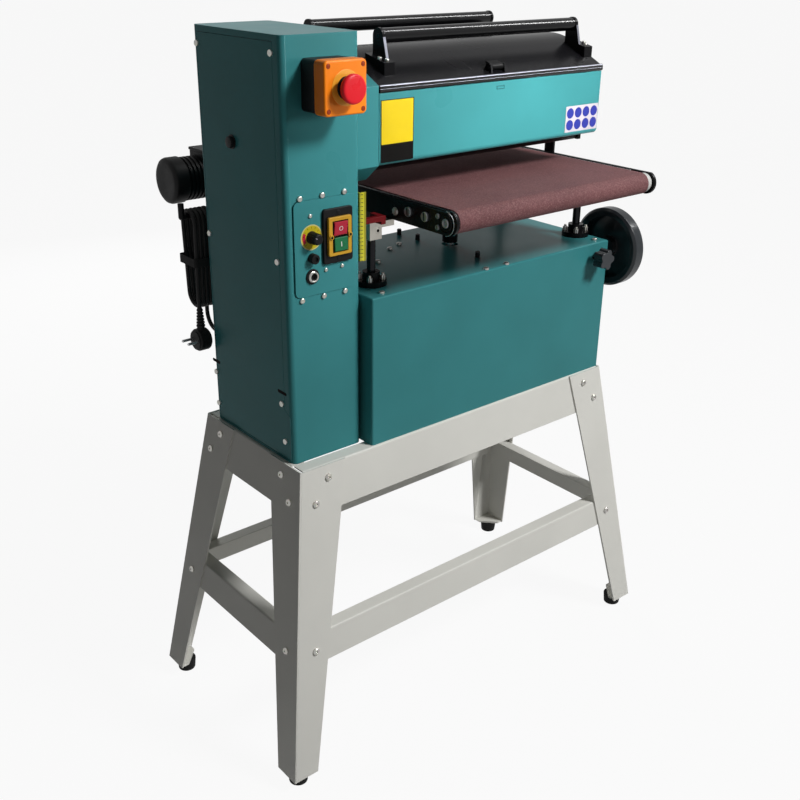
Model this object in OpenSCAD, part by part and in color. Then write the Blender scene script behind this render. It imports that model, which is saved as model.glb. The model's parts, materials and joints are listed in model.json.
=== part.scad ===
// Open-ended drum sander on a splayed steel stand, with an abrasive-covered feed belt.
// Frame: millimetres, +Z up, +X from the drive cabinet to the open end, -Y to the infeed side.
// The origin is on the floor, under the drum axis, halfway along the stand.

/* [Stand] */
// Depth of the stand's top frame
stand_d = 285; // [270:1:330]
// Height of the stand's top face above the floor
stand_h = 548; // [480:1:620]
// How far each foot stands out sideways from the top corner
splay_x = 80; // [40:1:110]
// How far each foot stands out to the front or back from the top corner
splay_y = 73; // [40:1:73]
// Distance of the stand's middle from the drum plane, towards the outfeed side
stand_y = -23; // [-30:1:-16]
// Thickness of the leg sheet
leg_t = 3; // [2:0.5:4]
// Width of a leg's front face at the top
leg_front_top = 87; // [60:1:100]
// Width of a leg's front face at the bottom
leg_front_bottom = 47; // [36:1:60]
// Width of a leg's side face at the top
leg_side_top = 87; // [60:1:100]
// Width of a leg's side face at the bottom
leg_side_bottom = 50; // [38:1:60]
// Height of the upper rails
upper_rail_h = 78; // [60:1:100]
// Height of the lower rails
lower_rail_h = 54; // [40:1:70]
// Height of the lower rails' bottom edge above the floor
lower_rail_z = 214; // [150:1:280]
// Width of the rails' inward flange
rail_flange = 25; // [20:1:40]
// Thickness of the rail sheet
rail_t = 2.5; // [2:0.5:4]
// Height of a rubber foot under the leg plate
foot_h = 22; // [15:1:30]
// Diameter of a rubber foot
foot_d = 36; // [28:1:44]

/* [Base box] */
// Depth of the box
box_d = 283; // [275:1:300]
// Height of the box
box_h = 252; // [240:1:280]
// Sheet thickness of the box and of the cabinet
sheet_t = 2; // [1.5:0.5:3]
// Distance of the box's front face from the drum plane
box_front = 159; // [155:1:165]

/* [Cabinet] */
// Width of the drive cabinet
cab_w = 134; // [128:1:138]
// Depth of the drive cabinet
cab_d = 231; // [220:1:245]
// Height of the drive cabinet
cab_h = 640; // [620:1:680]
// Distance of the cabinet's front face from the drum plane
cab_front = 135; // [130:1:142]
// Corner radius of the cabinet's folded front edges
cab_r = 9; // [5:1:14]
// Width of the cabinet's folded edge in front of the side cover
seam_w = 20; // [14:1:28]

/* [Controls] */
// Width of the opening in front of the control panel
panel_w = 106; // [100:1:112]
// Height of the opening in front of the control panel
panel_h = 144; // [130:1:150]
// Height of the control panel's middle above the stand's top
panel_z = 343; // [323:1:363]
// Width of the switch's black plate
switch_w = 53; // [48:1:56]
// Height of the switch's black plate
switch_h = 82; // [76:1:90]
// Thickness of the switch's black plate
switch_t = 8; // [5:0.5:12]
// Travel of the stop and start keys
key_travel = 3; // [1:0.5:4]
// Diameter of the speed knob
knob_d = 19; // [14:1:24]
// Length of the speed knob
knob_l = 22; // [14:1:28]
// Width of the emergency stop box
estop_w = 72; // [66:1:80]
// Height of the emergency stop box
estop_h = 73; // [66:1:80]
// Depth of the emergency stop box's black base
estop_base_d = 33; // [24:1:40]
// Depth of the emergency stop box's cover
estop_cover_d = 23; // [16:1:30]
// Diameter of the emergency stop button's head
mushroom_d = 40; // [30:1:44]
// Travel of the emergency stop button
mushroom_travel = 4; // [2:0.5:6]

/* [Head] */
// Length of the head from its arm to the open end
head_l = 500; // [400:1:600]
// Length of the arm between the cabinet and the head
arm_l = 46; // [44:1:56]
// Half the depth of the head
head_half = 121.5; // [116:0.5:126]
// Depth of the head panels' bottom edge below the drum axis
head_z = 39; // [34:1:44]
// Height of the head panels
head_h = 107; // [100:1:110]
// Radius of the head panels' rolled bottom edge
lip_r = 9; // [6:1:12]
// Slope of the hood's flanks in degrees
hood_slope = 26; // [22:1:28]
// Diameter of the return rollers
bar_d = 22; // [18:1:26]
// Height of the return rollers' axis above the head panels' top
bar_z = 74; // [72:1:78]
// Distance of the infeed return roller from the drum plane
bar_front = 62; // [56:1:68]
// Distance of the outfeed return roller from the drum plane
bar_rear = 136; // [135:1:142]
// Outside diameter of the dust spigot
spigot_d = 100; // [80:1:100]
// Length of the dust spigot
spigot_l = 52; // [40:1:70]

/* [Drum] */
// Diameter of the sanding drum over its abrasive wrap
drum_d = 102; // [90:1:104]
// Height of the drum axis above the stand's top
drum_z = 482; // [480:1:486]
// Diameter of the drum shaft
shaft_d = 25; // [20:1:28]
// Diameter of the drum's belt pulley
pulley_d = 96; // [80:1:110]
// Diameter of the motor's belt pulley
motor_pulley_d = 72; // [60:1:90]
// Diameter of the main motor
motor_d = 140; // [120:1:150]
// Length of the main motor
motor_l = 240; // [190:1:290]
// Height of the main motor's axis above the stand's top
motor_z = 112; // [102:1:132]
// Diameter of the pressure rollers
press_d = 24; // [20:1:28]
// Distance of the pressure rollers from the drum plane
press_y = 86; // [80:1:92]

/* [Feed table] */
// Height of the belt's upper face above the stand's top
table_z = 393; // [388:1:398]
// Distance from the drum plane to the feed rollers' axes
roller_y = 238; // [228:0.5:244]
// Diameter of the feed rollers
roller_d = 33; // [30:1:36]
// Thickness of the feed belt
belt_t = 1.5; // [1:0.1:2]
// Thickness of the table's side plates
plate_t = 5; // [4:0.5:6]
// Diameter of the feed motor
feed_motor_d = 76; // [60:1:78]
// Length of the feed motor
feed_motor_l = 136; // [110:1:140]

/* [Lift] */
// Diameter of the guide posts
post_d = 14; // [12:0.5:16]
// Distance of the guide posts from the drum plane
post_y = 98; // [92:1:100]
// Diameter of the post flanges
flange_d = 50; // [44:1:52]
// Height of the post flanges
flange_h = 22; // [16:1:26]
// Diameter of the lift screw
screw_d = 16; // [14:1:18]
// Diameter of the handwheel
wheel_d = 147; // [140:1:165]
// Width of the handwheel's rim
wheel_w = 27; // [20:1:32]
// Distance of the handwheel's shaft from the drum plane
wheel_y = 135; // [133:1:137]
// Depth of the handwheel's shaft below the base box's top
wheel_z = 23; // [20:1:26]

/* [Mains cord] */
// Diameter of the mains cord
cord_d = 7; // [5:0.5:8]
// Number of full loops in the hank
cord_loops = 4; // [3:1:5]

/* [Hidden] */
$fn = 48;

// One overrun serves every cut
cut = 1;
// Radial clearance of a shaft that runs in a bore
run_fit = 0.05;
// Clearance between faces that move past each other
gap = 0.4;
// Shares used where a size follows another
half_share = 0.5;
third_share = 1 / 3;
quarter_share = 0.25;

// Colours as the photograph shows them
teal = [0.20, 0.50, 0.51];
pale_grey = [0.78, 0.78, 0.76];
black = [0.06, 0.06, 0.07];
zinc = [0.75, 0.75, 0.74];
steel = [0.62, 0.62, 0.63];
orange = [1.0, 0.58, 0.15];
red = [0.85, 0.15, 0.18];
green = [0.18, 0.55, 0.35];
yellow = [0.95, 0.80, 0.25];
maroon = [0.50, 0.33, 0.33];
dark_red = [0.45, 0.08, 0.08];

// Stand, as wide as the head's length asks
stand_past_head = 208;
stand_w = head_l + stand_past_head;
leg_run = stand_h - foot_h;
tilt_x = atan(splay_x / leg_run);
tilt_y = atan(splay_y / leg_run);
leg_slant_y = sqrt(leg_run * leg_run + splay_y * splay_y);
leg_slant_x = sqrt(leg_run * leg_run + splay_x * splay_x);
foot_plate_t = 4;
foot_plate_w = leg_front_bottom - leg_t;
foot_plate_d = leg_side_bottom - leg_t;
bolt_head_d = 12;
bolt_head_h = 4;
top_bolt_drop = 21;
top_bolt_in = 50;
mid_bolt_drop = 58;
mid_bolt_in = 30;
low_front_share = 0.575;
low_side_share = 0.485;

// Base box and cabinet
cab_in = 8;
cab_left = stand_w * half_share - cab_in;
cab_right = cab_w - cab_left;
box_in = 4;
box_off = 4;
box_right = stand_w * half_share - box_in;
box_left = cab_right + box_off;
box_w = box_right - box_left;
panel_at = stand_h + panel_z;
drum_at = stand_h + drum_z;
head_at = drum_at - head_z;
bar_at = head_at + head_h + bar_z;
motor_at = stand_h + motor_z;
table_at = stand_h + table_z;
box_top = stand_h + box_h;
wheel_at = box_top - wheel_z;
cab_back = cab_d - cab_front;
cover_t = 2;
seam_gap = 0.5;
jog_up = 84;
jog_z = stand_h + jog_up;
jog_w = 15;
wall_hole_d = 60;
screw_head_d = 9;
screw_head_h = 3;
panel_screw_d = 8;
panel_screw_share = 0.374;
panel_screw_out = 4;
inner_screw_d = 5.5;
inner_screw_h = 2;
corner_screw_x = 22;
corner_screw_y = 14;
// Screw places: from the cabinet's front and the stand's top, from the box's left front corner,
// and from the panel's middle
cover_marks = [[22, 616], [219, 614], [217, 327], [24, 325], [26, 97], [223, 87], [20, 34], [221, 30]];
box_marks = [[130, 148], [197, 198], [230, 212], [248, 5], [296, 5], [30, 14]];
inner_marks = [[-22.5, 49], [4, -36], [34, -35]];

// Controls
panel_off = 3.5;
panel_x = cab_right - cab_w * half_share - panel_off;
panel_t = 2;
panel_margin = 1;
panel_face = sheet_t - cab_front;
switch_in = 19;
switch_up = 14;
switch_x = cab_right - switch_in - switch_w * half_share;
switch_z = panel_at + switch_up;
switch_r = 4;
well_floor = 1;
frame_w = 42;
frame_h = 58;
frame_t = 5;
frame_r = 3;
key_w = 24;
key_h = 21;
key_t = 9;
key_gap = 2.4;
dial_in = 43;
dial_up = 17;
dial_x = dial_in - cab_left;
dial_z = panel_at + dial_up;
knob_stem_d = 6;
reset_down = 14;
reset_z = panel_at - reset_down;
reset_d = 15;
reset_stem_d = 11;
reset_l = 12;
reset_travel = 2;
connector_down = 42;
connector_z = panel_at - connector_down;
connector_rim = 2;
connector_d = 23;
connector_l = 9;
estop_in = 67;
estop_x = estop_in - cab_left;
estop_up = 574;
estop_z = stand_h + estop_up;
estop_r = 7;
estop_step = 1;
estop_wall = 4;
estop_floor = 2;
mushroom_h = 9;
mushroom_neck_d = 26;
mushroom_rest = 8;
mushroom_neck_l = mushroom_travel + mushroom_rest;
mushroom_neck_in = 4;
mushroom_round_share = 0.06;

// Head
head_left = cab_right + arm_l;
head_right = head_left + head_l;
head_mid = (head_left + head_right) * half_share;
head_top = head_at + head_h;
arm_above = 94;
arm_top_z = drum_at + arm_above;
arm_below = 72;
arm_bottom_z = drum_at - arm_below;
arm_chamfer_y = 30;
arm_chamfer_z = 15;
arm_low_chamfer_z = 34;
arm_step_z = 9;
arm_wall = 8;
arm_back = cab_back;
end_plate_t = 6;
strap_t = 5;
strap_w = 22;
strap_y = -16;
strap_up = 390;
strap_z = stand_h + strap_up;
strap_h = 147;
strap_top = strap_z + strap_h;
strap_foot_h = 25;
strap_gap = 7;
lip_flange = 10;
keeper_w = 17;
keeper_h = 5;
keeper_drop = 10;
hood_t = 2;
hood_edge_h = 8;
hood_edge_in = 6.5;
hood_shoulder_h = 4;
hood_flat_top = head_top + hood_edge_h + hood_shoulder_h;
hood_arc_r = 114;
hood_tan_y = hood_arc_r * sin(hood_slope);
hood_tan_z = hood_flat_top + (head_half - hood_edge_in - hood_tan_y) * tan(hood_slope);
hood_arc_z = hood_tan_z - hood_arc_r * cos(hood_slope);
trim_r = 3.5;
hinge_out = 7;
hinge_up = 4;
hinge_y = head_half + hinge_out;
hinge_z = head_top + hinge_up;
hinge_r = 6;
hinge_pin_d = 6;
hinge_w = 24;
hinge_gap = 0.5;
hinge_ear = 10;
hinge_leaf_h = 30;
hinge_leaf_t = 3;
hinge_leaf_over = 2;
hinge_in = 98;
hinge_xs = [head_left + hinge_in, head_right - hinge_in];
latch_off = 2;
latch_x = head_mid + latch_off;
latch_w = 26;
latch_half = latch_w * half_share;
latch_pin_d = 5;
latch_in = 13;
latch_up = 9;
latch_y = head_half - latch_in;
latch_z = hood_flat_top + latch_up;
latch_l = 22;
latch_t = 5;
latch_ear_t = 4;
latch_tip = 4;
ear_foot = 8;
ear_top = 5;
ear_back = 9;
bracket_t = 5;
bracket_in_left = 45;
bracket_in_right = 16;
bracket_left = head_left + bracket_in_left;
bracket_right = head_right - bracket_in_right;
rear_in = 11;
bracket_foot_l = 20;
bracket_foot_half = 35;
bracket_foot_h = 18;
bracket_edge = 11;
bracket_top_half = 12;
bar_pin_d = 8;
rear_bracket_up = 40;
rear_bracket_low = head_at + rear_bracket_up;
rear_bracket_foot = 16;
rear_bracket_step = 4;
rear_pad_t = 4;
rear_pad_h = 40;
rear_notch = 3;
rear_notch_up = 38;
spigot_wall = 2;
spigot_flange_d = 102;
spigot_flange_t = 2;
spigot_x = head_mid;
spigot_z = head_at + head_h * half_share;

// Drum and drive
drum_end_gap = 20;
drum_l = head_l - 2 * drum_end_gap;
drum_wall = 6;
hub_t = 12;
bearing_d = 52;
bearing_w = 15;
bearing_seat_x = head_left - arm_wall - bearing_w;
pulley_w = 26;
pulley_in = 46;
pulley_x = pulley_in - cab_left;
groove_lip = 1;
groove_in = 3;
shaft_out = 4;
centre_hole_l = 20;
groove_d = 10;
drive_belt_w = 18;
belt_taper = 8;
drive_belt_t = 9;
motor_shaft_d = 24;
motor_in = 24;
motor_left = box_left + motor_in;
motor_leg_in = 30;
motor_leg_y = 45;
motor_leg_w = 40;
motor_bed_in = 10;
motor_box_in = 70;
motor_box_l = 90;
motor_box_w = 80;
motor_box_drop = 14;
motor_foot_h = 14;
hanger_t = 8;
hanger_w = 26;
hanger_trim = 2;
hanger_up = 42;
press_below = 1;
press_z = drum_at - drum_d * half_share + press_d * half_share - press_below;
press_pin_d = 10;

// Feed table
belt_gap = 0.3;
roller_z = table_at - belt_t - belt_gap - roller_d * half_share;
table_in = 36;
table_short = 31;
table_left = -head_left - table_in;
table_w = head_l - table_short;
table_right = table_w - table_left;
plate_edge = 1.5;
plate_half_h = roller_d * half_share + belt_t + belt_gap + plate_edge;
plate_nose = 2;
plate_drop = 0.3;
plate_reach = roller_y + plate_nose + plate_half_h;
belt_in_left = 10;
belt_in_right = 17;
belt_left = belt_in_left - table_left;
belt_w = table_w - belt_in_left - belt_in_right;
bed_t = 3;
bed_short = 30;
bed_half = roller_y - bed_short;
bed_skirt = 18;
axle_d = 15;
roller_gap = 1;
roller_l = table_w - 2 * plate_t - 2 * roller_gap;
nose_plate_l = 172;
nose_out = 10;
nose_edge = 3;
nose_r = 8;
axle_ring = 12;
nose_plate_t = 4;
big_screw_d = 14;
small_screw_d = 8;
nut_d = 13;
plate_screw_h = 3;
small_screw_off = 8.5;
small_screw_in = 15;
// Side plate screws: distance behind the roller axis, height above it, diameter
plate_marks = [[43, 2, big_screw_d], [82, 2, big_screw_d], [115, -4, nut_d]];
gearbox_y = 31.5;
gearbox_up = 14;
gearbox_w = 62;
gearbox_l = 61;
gearbox_shift = 3;
gearbox_corner = 8;
gearbox_axle_in = 3;
feed_cap_l = 26;
feed_body_step = 4;
feed_box_l = 70;
feed_box_w = 46;
feed_box_h = 9;
feed_box_in = 34;

// Lift
post_in_left = 4;
post_in_right = 12;
post_left_x = head_left + post_in_left;
post_right_x = table_right - post_in_right;
post_top_up = 348;
post_top = stand_h + post_top_up;
post_low_up = 142;
post_low = stand_h + post_low_up;
clamp_w = 24;
clamp_h = 28;
clamp_arm_h = 10;
flange_t = 9;
flange_bush_d = 28;
flange_nut_d = 9;
flange_nut_h = 7;
flange_nut_share = 0.76;
bar_w = 50;
bar_h = 20;
bar_top = roller_z - plate_half_h;
clamp_top = bar_top;
nut_od = 28;
nut_flange_d = 46;
nut_flange_t = 6;
nut_up = 5;
nut_low = box_top + nut_up;
screw_above = 57;
screw_top = box_top + screw_above;
bevel_r = 18;
bevel_low_r = 9;
bevel_h = 9;
bevel_off = 11;
shaft_r = 7;
bevel_reach = bevel_off + bevel_low_r + bevel_h;
block_off = 4;
bridge_half = 36;
bridge_t = 8;
bridge_drop = 67;
bridge_z = wheel_at - bridge_drop;
bridge_off = 6;
screw_x = motor_left + motor_l + bridge_half + bridge_off;
collar_gap = 6;
screw_low = bridge_z - collar_gap;
bridge_plate_t = 10;
block_w = 34;
block_t = 14;
wheel_out = 20;
wheel_in = box_right + wheel_out;
wheel_cap = 4;
wheel_rim_t = 15;
wheel_disc_t = 6;
wheel_hub_d = 40;
lock_in = 35;
knob_x_lock = box_right - lock_in;
knob_drop = 26;
knob_z_lock = box_top - knob_drop;
star_d = 38;
star_l = 20;
star_lobe_d = 13;
star_stem_d = 10;
star_stem_l = 11;
star_lobes = 5;

// Depth scale
scale_w = 12;
scale_t = 1.5;
scale_leg = 28;
scale_up = 306;
scale_low = stand_h + scale_up;
scale_h = 106;
pointer_up = 360;
pointer_z = stand_h + pointer_up;
pointer_t = 8;
pointer_w = 9;
pointer_past_scale = 3;
pointer_tip = scale_w + pointer_past_scale;
pointer_in = 8;
pointer_gap = 2;
pointer_past_post = 6;

// Mains cord, hung in a hank over a hook on the cabinet's back
loop_r = 21;
loop_out = 42;
loop_y = cab_back + loop_out;
loop_high = 880;
loop_low = 760;
loop_gap = 0.7;
loop_pitch = cord_d + loop_gap;
hank_in = 28;
hank_x = hank_in - cab_left;
cord_hole_gap = 4;
lead_in = 8;
gland_z = 690;
gland_l = 24;
gland_d = 18;
gland_nut_t = 6;
gland_nut_rim = 6;
gland_tip = 4;
hook_d = 10;
hook_z = loop_high + loop_r - cord_d * half_share - hook_d * half_share - belt_gap;
hook_in = 14;
hook_in_x = hank_x + hook_in;
hook_tip_h = 22;
hook_plate = 30;
hook_plate_t = 4;
lead_turn_r = 28;
tail_end_z = 742;
plug_d = 38;
plug_t = 26;
plug_pin_d = 4.8;
plug_pin_l = 19;
plug_pin_pitch = 19;
relief_l = 36;
relief_d = 14;
relief_in = 4;
relief_foot = 4;
relief_tip = 3;
third_loop_steps = 9;
run_steps = 6;
bend_steps = 6;
cord_sides = 6;

// Shared shapes

module round_rect(w, h, r) {
    square([w - 2 * r, h], center = true);
    square([w, h - 2 * r], center = true);
    for (sx = [-1, 1], sy = [-1, 1])
        translate([sx * (w * half_share - r), sy * (h * half_share - r)]) circle(r);
}

// A profile drawn in Y and Z, swept along X from x0 for length l
module sweep_x(x0, l) {
    translate([x0, 0, 0]) rotate([90, 0, 90]) linear_extrude(l) children();
}

// A profile drawn in X and Z, swept along +Y from y0 for length l
module sweep_y(y0, l) {
    translate([0, y0 + l, 0]) rotate([90, 0, 0]) linear_extrude(l) children();
}

module rod_x(x0, l, d, y, z) {
    translate([x0, y, z]) rotate([0, 90, 0]) cylinder(d = d, h = l);
}

module rod_y(y0, l, d, x, z) {
    translate([x, y0, z]) rotate([-90, 0, 0]) cylinder(d = d, h = l);
}

module rod_z(z0, l, d, x, y) {
    translate([x, y, z0]) cylinder(d = d, h = l);
}

// A pan head with its recess, standing on the plane z = 0
module pan_head(d, h) {
    difference() {
        union() {
            cylinder(d = d, h = h * half_share);
            translate([0, 0, h * half_share])
                cylinder(d1 = d, d2 = d * (1 - quarter_share), h = h * half_share);
        }
        translate([0, 0, h * half_share]) cylinder(d = d * third_share, h = h, $fn = 6);
    }
}

// Heads on faces that look to the front, the left and upwards
module head_front(x, y, z, d, h) {
    translate([x, y, z]) rotate([90, 0, 0]) pan_head(d, h);
}

module head_left_face(x, y, z, d, h) {
    translate([x, y, z]) rotate([0, -90, 0]) pan_head(d, h);
}

module head_up(x, y, z, d, h) {
    translate([x, y, z]) pan_head(d, h);
}

// One child copied to the four corners of the stand
module stand_corners() {
    for (sx = [0, 1], sy = [0, 1])
        translate([0, stand_y, 0]) mirror([0, sy, 0]) mirror([sx, 0, 0]) children();
}

// Places a child drawn on a leg's front face: x from the corner edge, y down the slope
module on_leg_front() {
    translate([-stand_w * half_share, -stand_d * half_share, stand_h]) rotate([90 - tilt_y, 0, 0])
        children();
}

// Places a child drawn on a leg's side face: x from the corner edge, y down the slope
module on_leg_side() {
    translate([-stand_w * half_share, -stand_d * half_share, stand_h])
        rotate([0, 0, 90]) rotate([90 + tilt_x, 0, 0]) children();
}

// Stand

module leg() {
    on_leg_front()
        translate([0, 0, -leg_t]) linear_extrude(leg_t)
            polygon([[0, 0], [leg_front_top, 0], [leg_front_bottom - splay_x, -leg_slant_y],
                     [-splay_x, -leg_slant_y]]);
    on_leg_side()
        linear_extrude(leg_t)
            polygon([[0, 0], [leg_side_top, 0], [leg_side_bottom - splay_y, -leg_slant_x],
                     [-splay_y, -leg_slant_x]]);
    translate([-stand_w * half_share - splay_x + leg_t * half_share,
               -stand_d * half_share - splay_y + leg_t * half_share, foot_h])
        linear_extrude(foot_plate_t)
            polygon([[0, 0], [foot_plate_w, 0], [foot_plate_w, foot_plate_d * third_share],
                     [foot_plate_w * third_share, foot_plate_d], [0, foot_plate_d]]);
}

module stand_legs() {
    color(pale_grey) stand_corners() leg();
}

// A rail's section: an upright on the inner face of the leg plane, with an inward flange along its top edge
module rail_section(top_edge, z_top, h, tilt) {
    outer = top_edge + leg_t / cos(tilt);
    inner = outer + rail_t / cos(tilt);
    polygon([[outer, z_top], [outer + rail_flange, z_top], [outer + rail_flange, z_top - rail_t],
             [inner - rail_t * tan(tilt), z_top - rail_t], [inner - h * tan(tilt), z_top - h],
             [outer - h * tan(tilt), z_top - h]]);
}

module long_rail(z_top, h, l) {
    edge = -stand_d * half_share - (stand_h - z_top) * tan(tilt_y);
    sweep_x(-l * half_share, l) rail_section(edge, z_top, h, tilt_y);
}

module cross_rail(z_top, h, l) {
    edge = -stand_w * half_share - (stand_h - z_top) * tan(tilt_x);
    sweep_y(-l * half_share, l) rail_section(edge, z_top, h, tilt_x);
}

low_drop = stand_h - lower_rail_z - lower_rail_h;
rail_end = leg_t + gap + rail_t + gap;
long_top_l = stand_w - 2 * rail_end;
cross_top_l = stand_d - 2 * (rail_end + rail_flange);
long_low_l = stand_w + 2 * low_drop * tan(tilt_x) - 2 * rail_end;
cross_low_l = stand_d + 2 * low_drop * tan(tilt_y) - 2 * (rail_end + rail_flange);

module stand_rails() {
    color(pale_grey) translate([0, stand_y, 0]) {
        for (s = [0, 1]) {
            mirror([0, s, 0]) long_rail(stand_h, upper_rail_h, long_top_l);
            mirror([0, s, 0]) long_rail(lower_rail_z + lower_rail_h, lower_rail_h, long_low_l);
            mirror([s, 0, 0]) cross_rail(stand_h, upper_rail_h, cross_top_l);
            mirror([s, 0, 0]) cross_rail(lower_rail_z + lower_rail_h, lower_rail_h, cross_low_l);
        }
    }
}

module rubber_feet() {
    color(black) stand_corners()
        translate([-stand_w * half_share - splay_x + leg_front_bottom * half_share,
                   -stand_d * half_share - splay_y + leg_side_bottom * half_share, 0])
            cylinder(d1 = foot_d * (1 - quarter_share * half_share), d2 = foot_d, h = foot_h);
}

// Bolt heads on the legs: share is where a head lies across the face's width at that height
module face_bolts(slant, top_w, bottom_w, splay, flip, low_share) {
    low_s = slant * (low_drop + lower_rail_h * half_share) / leg_run;
    low_w = top_w + (bottom_w - top_w) * low_s / slant;
    spots = [[top_bolt_in, top_bolt_drop], [mid_bolt_in - splay * mid_bolt_drop / slant, mid_bolt_drop],
             [low_w * low_share - splay * low_s / slant, low_s]];
    for (p = spots)
        translate([p[0], -p[1], 0]) rotate([flip, 0, 0]) pan_head(bolt_head_d, bolt_head_h);
}

module stand_bolts() {
    color(zinc) stand_corners() {
        on_leg_front() face_bolts(leg_slant_y, leg_front_top, leg_front_bottom, splay_x, 0, low_front_share);
        on_leg_side() face_bolts(leg_slant_x, leg_side_top, leg_side_bottom, splay_y, 180, low_side_share);
    }
}

// Base box, open below

module base_box() {
    color(teal) difference() {
        translate([box_left, -box_front, stand_h]) cube([box_w, box_d, box_h]);
        translate([box_left + sheet_t, sheet_t - box_front, stand_h - cut])
            cube([box_w - 2 * sheet_t, box_d - 2 * sheet_t, box_h - sheet_t + cut]);
        for (px = [post_left_x, post_right_x], sy = [-1, 1])
            rod_z(box_top - sheet_t - cut, sheet_t + 2 * cut, flange_bush_d + 2 * gap, px, sy * post_y);
        rod_z(box_top - sheet_t - cut, sheet_t + 2 * cut, nut_od + 2 * cut, screw_x, 0);
        rod_x(box_right - sheet_t - cut, sheet_t + 2 * cut, 2 * shaft_r + 2 * cut, -wheel_y, wheel_at);
        rod_x(box_left - cut, sheet_t + 2 * cut, wall_hole_d, 0, motor_at);
        rod_y(-box_front - cut, sheet_t + 2 * cut, star_stem_d + cut, knob_x_lock, knob_z_lock);
    }
}

// Cabinet: front, back, right wall and top, with folded edges around the side cover

module cab_plan(shrink) {
    translate([cab_right - cab_w * half_share, cab_back - cab_d * half_share])
        round_rect(cab_w - 2 * shrink, cab_d - 2 * shrink, cab_r - shrink);
}

module side_opening(grow) {
    front = -cab_front + seam_w - grow;
    back = cab_back - seam_w * half_share + grow;
    translate([0, 0, stand_h + 2 * sheet_t]) {
        sweep_x(-cab_left - cut, cover_t + 2 * cut)
            polygon([[front, jog_z - stand_h], [front - jog_w, jog_z - jog_w * half_share - stand_h],
                     [front - jog_w, -grow], [back, -grow],
                     [back, cab_h - 2 * sheet_t - cab_r + grow],
                         [front, cab_h - 2 * sheet_t - cab_r + grow]]);
    }
}

module cabinet() {
    color(teal) difference() {
        translate([0, 0, stand_h]) linear_extrude(cab_h) cab_plan(0);
        translate([0, 0, stand_h + sheet_t]) linear_extrude(cab_h - 2 * sheet_t) cab_plan(sheet_t);
        side_opening(0);
        sweep_y(-cab_front - cut, sheet_t + 2 * cut)
            translate([panel_x, panel_at]) round_rect(panel_w, panel_h, cab_r);
        rod_x(cab_right - sheet_t - cut, sheet_t + 2 * cut, wall_hole_d, 0, motor_at);
        rod_x(cab_right - sheet_t - cut, sheet_t + 2 * cut, wall_hole_d, 0, drum_at);
        rod_y(cab_back - sheet_t - cut, sheet_t + 2 * cut, cord_d + cord_hole_gap, hank_x, gland_z);
    }
}

module cabinet_cover() {
    color(teal) intersection() {
        side_opening(-seam_gap);
        translate([-cab_left, -cab_front, stand_h]) cube([cover_t, cab_d, cab_h]);
    }
}

cover_spots = [for (p = cover_marks) [p[0] - cab_front, p[1] + stand_h]];
box_spots = concat([for (p = box_marks) [p[0] + box_left, p[1] - box_front]],
                   [[box_right - corner_screw_x, corner_screw_y - box_front]]);
panel_spots = [for (x = [-1, 0, 1], z = [-1, 1])
    [panel_x + x * panel_w * panel_screw_share, panel_at + z * (panel_h * half_share + panel_screw_out)]];
inner_spots = [for (p = inner_marks) [p[0] + panel_x, p[1] + panel_at]];

module machine_screws() {
    color(zinc) {
        for (p = cover_spots) head_left_face(-cab_left, p[0], p[1], screw_head_d, screw_head_h);
        for (p = box_spots) head_up(p[0], p[1], box_top, screw_head_d, screw_head_h);
        for (p = panel_spots) head_front(p[0], -cab_front, p[1], panel_screw_d, screw_head_h);
        for (p = inner_spots) head_front(p[0], panel_face, p[1], inner_screw_d, inner_screw_h);
    }
}

module control_panel() {
    color(teal) difference() {
        sweep_y(panel_face, panel_t)
            translate([panel_x, panel_at])
                round_rect(panel_w + 2 * panel_margin, panel_h + 2 * panel_margin, cab_r);
        rod_y(panel_face - cut, panel_t + 2 * cut, knob_stem_d + 2 * run_fit, dial_x, dial_z);
        rod_y(panel_face - cut, panel_t + 2 * cut, reset_stem_d, dial_x, reset_z);
    }
}

// Switch: black plate, yellow frame with two wells, and the two keys

module key_wells(grow, deep) {
    for (s = [-1, 1])
        sweep_y(panel_face - switch_t - frame_t - cut, deep)
            translate([switch_x, switch_z + s * (key_h + key_gap) * half_share])
                square([key_w + 2 * grow, key_h + 2 * grow - gap], center = true);
}

module switch_plate() {
    color(black) difference() {
        sweep_y(panel_face - switch_t, switch_t)
            translate([switch_x, switch_z]) round_rect(switch_w, switch_h, switch_r);
        key_wells(gap, frame_t + switch_t + cut - well_floor);
    }
}

module switch_frame() {
    color(yellow) difference() {
        sweep_y(panel_face - switch_t - frame_t, frame_t)
            translate([switch_x, switch_z]) round_rect(frame_w, frame_h, frame_r);
        key_wells(gap, frame_t + 2 * cut);
    }
}

module key_cap(s) {
    sweep_y(panel_face - switch_t - frame_t - key_travel, key_t)
        translate([switch_x, switch_z + s * (key_h + key_gap) * half_share])
            square([key_w, key_h - 2 * gap], center = true);
}

module stop_button() {
    color(red) key_cap(1);
}

module start_button() {
    color(green) key_cap(-1);
}

module speed_knob() {
    color(black) {
        rod_y(panel_face - knob_l - gap, knob_l, knob_d, dial_x, dial_z);
        rod_y(panel_face - gap - cut, gap + cut + panel_t + knob_stem_d, knob_stem_d, dial_x, dial_z);
    }
}

module reset_button() {
    color(black) {
        rod_y(panel_face - reset_l - reset_travel, reset_l, reset_d, dial_x, reset_z);
        rod_y(panel_face - reset_travel - cut, reset_travel + cut + panel_t + reset_travel,
              reset_stem_d - 2 * run_fit, dial_x, reset_z);
    }
}

module panel_connector() {
    color(steel) difference() {
        union() {
            rod_y(panel_face - connector_rim, connector_rim, connector_d, dial_x, connector_z);
            rod_y(panel_face - connector_l, connector_l, connector_d * (1 - quarter_share), dial_x,
                  connector_z);
        }
        rod_y(panel_face - connector_l - cut, connector_l, connector_d * half_share, dial_x,
              connector_z);
    }
}

// Emergency stop

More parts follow.
